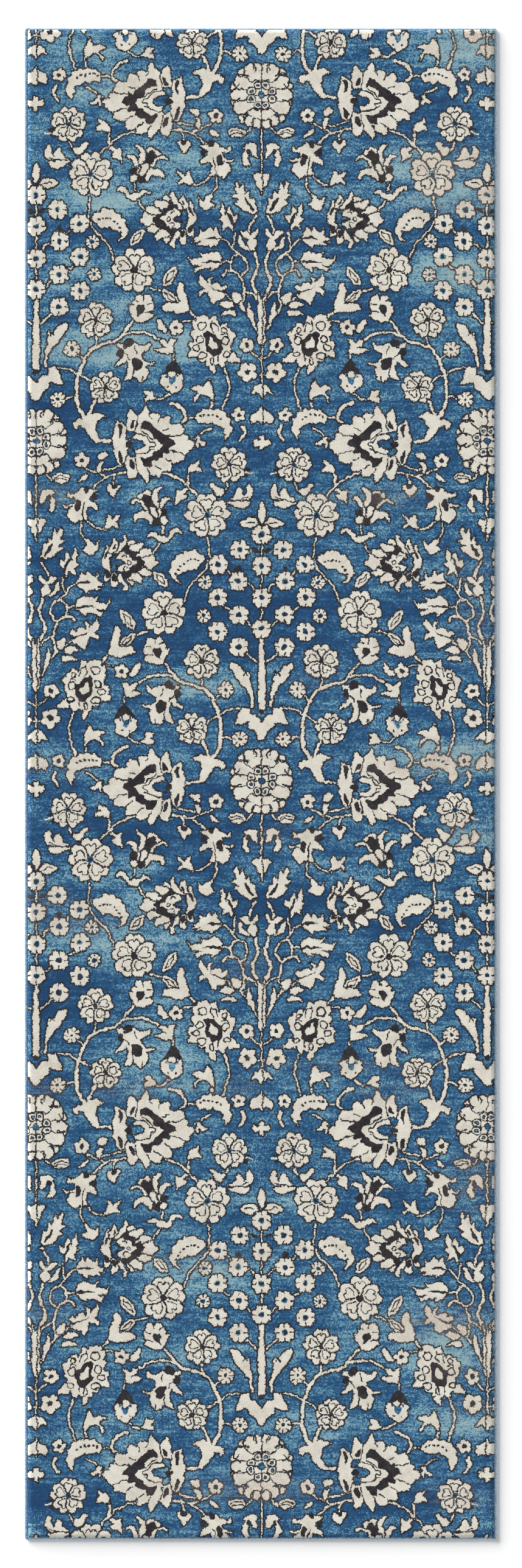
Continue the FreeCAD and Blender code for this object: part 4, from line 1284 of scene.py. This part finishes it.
class Nodes:
    """Short helpers over one material's node tree."""

    def __init__(self, name):
        self.material = bpy.data.materials.new(name)
        self.material.use_nodes = True
        self.tree = self.material.node_tree
        self.shader = self.tree.nodes["Principled BSDF"]
        self.place = self.new("ShaderNodeTexCoord").outputs["Object"]

    def new(self, kind, **settings):
        node = self.tree.nodes.new(kind)
        for key, value in settings.items():
            setattr(node, key, value)
        return node

    def link(self, source, target):
        self.tree.links.new(source, target)

    def put(self, socket, value):
        if isinstance(value, bpy.types.NodeSocket):
            self.link(value, socket)
        else:
            socket.default_value = value

    def maths(self, operation, a, b, clamp=False):
        node = self.new("ShaderNodeMath", operation=operation, use_clamp=clamp)
        self.put(node.inputs[0], a)
        self.put(node.inputs[1], b)
        return node.outputs[0]

    def total(self, *terms):
        """Sum of values, each times its share."""
        first, *rest = [self.maths("MULTIPLY", value, share) for value, share in terms]
        for term in rest:
            first = self.maths("ADD", first, term)
        return first

    def stretched(self, scale):
        node = self.new("ShaderNodeVectorMath", operation="MULTIPLY")
        self.link(self.place, node.inputs[0])
        node.inputs[1].default_value = scale
        return node.outputs[0]

    def noise(self, scale, detail, rough):
        """Noise whose features per metre are given along x, y and z."""
        node = self.new("ShaderNodeTexNoise")
        self.link(self.stretched(scale), node.inputs["Vector"])
        node.inputs["Scale"].default_value = 1.0
        node.inputs["Detail"].default_value = detail
        node.inputs["Roughness"].default_value = rough
        return node.outputs["Fac"]

    def tuft_noise(self, size, offset):
        """One random value for each tuft of the given size in metres."""
        snap = self.new("ShaderNodeVectorMath", operation="SNAP")
        self.link(self.place, snap.inputs[0])
        snap.inputs[1].default_value = (size, size, 1.0)
        node = self.new("ShaderNodeTexWhiteNoise", noise_dimensions="4D")
        self.link(snap.outputs[0], node.inputs["Vector"])
        node.inputs["W"].default_value = offset
        return node.outputs["Value"]

    def ramp(self, value, stops):
        node = self.new("ShaderNodeValToRGB")
        while len(node.color_ramp.elements) < len(stops):
            node.color_ramp.elements.new(0.5)
        for element, (position, colour) in zip(node.color_ramp.elements, stops):
            element.position, element.color = position, colour
        self.link(value, node.inputs[0])
        return node.outputs["Color"]

    def blend(self, factor, a, b):
        node = self.new("ShaderNodeMix", data_type="RGBA")
        self.put(node.inputs[0], factor)
        self.put(node.inputs[6], a)
        self.put(node.inputs[7], b)
        return node.outputs[2]

    def patch(self, name):
        return self.new("ShaderNodeAttribute", attribute_name=name).outputs["Fac"]

    def bump(self, height, strength, distance):
        node = self.new("ShaderNodeBump")
        self.put(node.inputs["Height"], height)
        node.inputs["Strength"].default_value = strength
        node.inputs["Distance"].default_value = distance
        self.link(node.outputs[0], self.shader.inputs["Normal"])

    def tuft_bump(self):
        """Rounded tuft heads, one to each cell of the pile."""
        node = self.new("ShaderNodeTexVoronoi", feature="F1")
        self.link(self.stretched((900, 900, 120)), node.inputs["Vector"])
        node.inputs["Scale"].default_value = 1.0
        domes = self.maths("MULTIPLY", node.outputs["Distance"], -1.0)
        tall = self.maths("MULTIPLY", self.tuft_noise(0.0024, 3.0), 0.6)
        self.bump(self.maths("ADD", domes, tall), 0.7, 0.0007)

    def thread_bump(self, scale, distortion, strength):
        """Fine slanting ridges of twisted thread."""
        wave = self.new("ShaderNodeTexWave", wave_type="BANDS", bands_direction="DIAGONAL")
        self.link(self.stretched(scale), wave.inputs["Vector"])
        wave.inputs["Scale"].default_value = 1.0
        wave.inputs["Distortion"].default_value = distortion
        self.bump(wave.outputs["Fac"], strength, 0.0003)

    def finish(self, colour, roughness, sheen=0.0):
        self.put(self.shader.inputs["Base Color"], colour)
        self.put(self.shader.inputs["Roughness"], roughness)
        self.shader.inputs["Specular IOR Level"].default_value = SPECULAR
        self.shader.inputs["Sheen Weight"].default_value = sheen
        return self.material


def blue_pile():
    n = Nodes("blue_cut_pile")
    cloud = n.noise((18, 42, 5), 5.0, 0.66)
    clump = n.noise((190, 260, 5), 2.0, 0.6)
    streak = n.noise((9, 210, 5), 3.0, 0.6)
    grain = n.tuft_noise(0.0016, 1.0)
    mottle = n.total((cloud, 1.2), (clump, 0.75), (streak, 0.6), (grain, 0.4))
    mottle = n.maths("SUBTRACT", mottle, 1.08)
    mottle = n.maths("ADD", mottle, n.maths("MULTIPLY", n.patch("tone"), 0.34), clamp=True)
    colour = n.ramp(mottle, [
        (0.1, srgb(22, 60, 98)), (0.36, srgb(36, 81, 120)), (0.52, srgb(61, 110, 144)),
        (0.66, srgb(108, 152, 168)), (0.9, srgb(146, 172, 176))])
    sweep = n.noise((22, 300, 5), 4.0, 0.65)
    bare = n.maths("ADD", sweep, n.maths("MULTIPLY", grain, 0.14))
    bare = n.maths("MULTIPLY", n.maths("SUBTRACT", bare, 0.55), 6.0)
    bare = n.maths("MULTIPLY", n.patch("wear"), bare, clamp=True)
    colour = n.blend(n.maths("MULTIPLY", bare, 0.72), colour, srgb(146, 150, 142))
    n.tuft_bump()
    return n.finish(colour, n.maths("ADD", n.maths("MULTIPLY", grain, 0.1), 0.86), 0.12)


def drawn_pile(name, cloud_scale, detail, seed, shares, stops, wear, worn_colour, rough, sheen):
    """Tufts of the drawn pattern: clouded, uneven from tuft to tuft, faded where worn."""
    n = Nodes(name)
    cloud = n.noise((cloud_scale, cloud_scale, 5), detail, 0.6)
    grain = n.tuft_noise(0.0012, seed)
    colour = n.ramp(n.total((cloud, shares[0]), (grain, shares[1])), stops)
    worn = n.maths("MULTIPLY", n.patch("wear"), n.maths("ADD", wear[0], grain))
    colour = n.blend(n.maths("MULTIPLY", worn, wear[1], clamp=True), colour, worn_colour)
    n.tuft_bump()
    return n.finish(colour, rough, sheen)


def yarn_material(name, dark, light, scale, wave_scale, roughness=0.8, sheen=0.1):
    """Plied or woven yarn: two tones in fine noise, with thread ridges as bump."""
    n = Nodes(name)
    speck = n.noise(scale, 3.0, 0.6)
    colour = n.ramp(speck, [(0.32, dark), (0.62, light)])
    n.thread_bump(wave_scale, 1.5, 0.35)
    rough = n.maths("ADD", n.maths("MULTIPLY", speck, 0.15), roughness - 0.07)
    return n.finish(colour, rough, sheen)


def serging_material(name, dark, middle, light):
    """Light-blue overcasting yarn: wraps differ a little and show white flecks."""
    n = Nodes(name)
    wraps = n.noise((430, 430, 60), 1.0, 0.4)
    fleck = n.noise((900, 900, 900), 2.0, 0.7)
    colour = n.ramp(wraps, [(0.3, dark), (0.5, middle), (0.72, light)])
    bright = n.maths("GREATER_THAN", fleck, 0.62)
    colour = n.blend(n.maths("MULTIPLY", bright, 0.4), colour, srgb(206, 218, 230))
    n.thread_bump((900, 900, 300), 0.0, 0.3)
    return n.finish(colour, n.maths("ADD", n.maths("MULTIPLY", fleck, 0.2), 0.62), 0.2)


def floor_material():
    n = Nodes("pale_floor")
    soft = n.noise((2, 2, 2), 2.0, 0.5)
    colour = n.ramp(soft, [(0.3, srgb(247, 247, 247)), (0.7, srgb(250, 250, 250))])
    return n.finish(colour, 0.95)


def paint(material, *painted):
    for piece in painted:
        piece.data.materials.append(material)


# ---- build the rug -------------------------------------------------------------------------
drawn = yarn != FIELD
field = field_piece()
charcoal = yarn_piece("pile_charcoal_outlines", drawn, CHARCOAL_LIFT,
                      ["pile_charcoal_hearts"])
ivory = yarn_piece("pile_ivory_flowers", yarn == IVORY, IVORY_LIFT,
                   ["pile_rosettes", "pile_palmettes", "pile_blossoms", "pile_trees",
                    "pile_leaves"])
sergings = [serging_piece(side) for side in ("left", "right", "head", "foot")]
cords = [cord_piece("left", "edge_cord_left"), cord_piece("right", "edge_cord_right"),
         cord_piece("head", "end_cord_head"), cord_piece("foot", "end_cord_foot")]
tacks = tack_piece()
upper = slab("upper_ground_weave", "upper_weft_cloth",
             GROUND_RIB_PITCH, GROUND_RIB_DEPTH, underside=False)
lower = slab("lower_ground_weave", "lower_weft_cloth",
             GROUND_RIB_PITCH, GROUND_RIB_DEPTH, underside=True)
stuffers = stuffer_piece()
coating = slab("ribbed_back_coating", "back_coating",
               COATING_RIB_PITCH, COATING_RIB_DEPTH, underside=True, pocket=label_pocket())
label, stitches = label_pieces()

paint(blue_pile(), field)
paint(drawn_pile(
    "ivory_cut_pile", 30, 4.0, 2.0, shares=(0.8, 0.25), stops=[
        (0.3, srgb(220, 217, 206)), (0.55, srgb(209, 204, 192)), (0.8, srgb(184, 176, 163))],
    wear=(0.25, 0.7), worn_colour=srgb(172, 158, 144), rough=0.92, sheen=0.08), ivory)
paint(drawn_pile(
    "charcoal_cut_pile", 60, 3.0, 4.0, shares=(0.7, 0.35), stops=[
        (0.3, srgb(30, 28, 31)), (0.6, srgb(46, 43, 46)), (0.85, srgb(76, 72, 74))],
    wear=(0.5, 0.5), worn_colour=srgb(112, 102, 96), rough=0.94, sheen=0.05), charcoal)
overcast = serging_material("serging_overcast_yarn", srgb(68, 100, 134), srgb(96, 129, 160),
                            srgb(134, 161, 184))
# Painted light: a paler copy of the same overcasting yarn, standing in for the light that the right
# and foot edges catch; the yarn itself is the same all round.
painted_lit_serging = serging_material("serging_overcast_yarn_painted_lit", srgb(126, 156, 184), srgb(160, 186, 208),
                         srgb(192, 211, 226))
left_serging, right_serging, head_serging, foot_serging = sergings
paint(overcast, left_serging, head_serging, tacks)
# painted light: the paler copy of the yarn goes on the right and foot sergings only
paint(painted_lit_serging, right_serging, foot_serging)
paint(yarn_material("cotton_cord", srgb(186, 178, 160), srgb(222, 216, 202), (300, 300, 300),
                    (500, 500, 500)), *cords)
paint(yarn_material("jute_ground", srgb(150, 124, 86), srgb(190, 166, 124), (150, 420, 100),
                    (700, 700, 100), 0.9), upper, lower)
paint(yarn_material("stuffer_yarn", srgb(186, 180, 164), srgb(214, 208, 194), (400, 60, 400),
                    (900, 300, 400)), stuffers)
paint(yarn_material("latex_over_jute", srgb(176, 160, 128), srgb(206, 194, 166), (120, 380, 80),
                    (500, 500, 80), 0.7, 0.0), coating)
paint(yarn_material("satin_tape", srgb(226, 224, 216), srgb(240, 238, 232), (700, 700, 300),
                    (1600, 200, 100), 0.55), label)
paint(yarn_material("sewing_thread", srgb(190, 190, 186), srgb(214, 214, 210), (900, 900, 900),
                    (2500, 2500, 800), 0.7), stitches)

# ---- floor, light and camera ------------------------------------------------------------------
FLOOR_REACH = 60         # metres from the middle to each edge
FLOOR_LEVEL = -0.0004
HORIZON_TOP, OVERHEAD_FROM = 0.08, 0.4      # sines of height above the horizon
HORIZON_STRENGTH, OVERHEAD_STRENGTH = 1.0, 0.18

floor_mesh = bpy.data.meshes.new("floor")
floor_mesh.from_pydata([(x * FLOOR_REACH, y * FLOOR_REACH, 0)
                        for x, y in ((-1, -1), (1, -1), (1, 1), (-1, 1))], [], [(0, 1, 2, 3)])
floor = bpy.data.objects.new("floor", floor_mesh)
floor.location.z = FLOOR_LEVEL
floor_mesh.materials.append(floor_material())
bpy.context.scene.collection.objects.link(floor)

# An even studio: white round the horizon, dimmer overhead.
world = bpy.data.worlds.new("studio")
world.use_nodes = True
tree = world.node_tree
split = tree.nodes.new("ShaderNodeSeparateXYZ")
tree.links.new(tree.nodes.new("ShaderNodeTexCoord").outputs["Generated"], split.inputs[0])
level = tree.nodes.new("ShaderNodeMapRange")
for socket, value in (("From Min", HORIZON_TOP), ("From Max", OVERHEAD_FROM),
                      ("To Min", HORIZON_STRENGTH), ("To Max", OVERHEAD_STRENGTH)):
    level.inputs[socket].default_value = value
tree.links.new(split.outputs["Z"], level.inputs["Value"])
background = tree.nodes["Background"]
background.inputs["Color"].default_value = (1, 1, 1, 1)
tree.links.new(level.outputs["Result"], background.inputs["Strength"])
bpy.context.scene.world = world


def soft_sun(name, energy, spread, from_zenith, heading):
    """Broad directional light; spread, angle from the zenith and heading are in degrees."""
    data = bpy.data.lights.new(name, "SUN")
    data.energy = energy
    data.angle = math.radians(spread)
    light = bpy.data.objects.new(name, data)
    light.rotation_euler = (math.radians(from_zenith), 0, math.radians(heading))
    bpy.context.scene.collection.objects.link(light)


soft_sun("soft_key", energy=9.1, spread=54, from_zenith=77, heading=225)
soft_sun("fill", energy=1.05, spread=50, from_zenith=55, heading=45)

CAMERA_HEIGHT = 12.0
VIEW_LENGTH = 2.531      # what the long side of the view covers at the rug
SENSOR = 36
camera_data = bpy.data.cameras.new("above")
camera_data.sensor_width = SENSOR
camera_data.lens = SENSOR * CAMERA_HEIGHT / VIEW_LENGTH
camera_data.clip_start, camera_data.clip_end = 0.1, 100
camera = bpy.data.objects.new("above", camera_data)
camera.location = (0, 0, CAMERA_HEIGHT)
bpy.context.scene.collection.objects.link(camera)
bpy.context.scene.camera = camera
bpy.context.scene.view_settings.view_transform = "Standard"
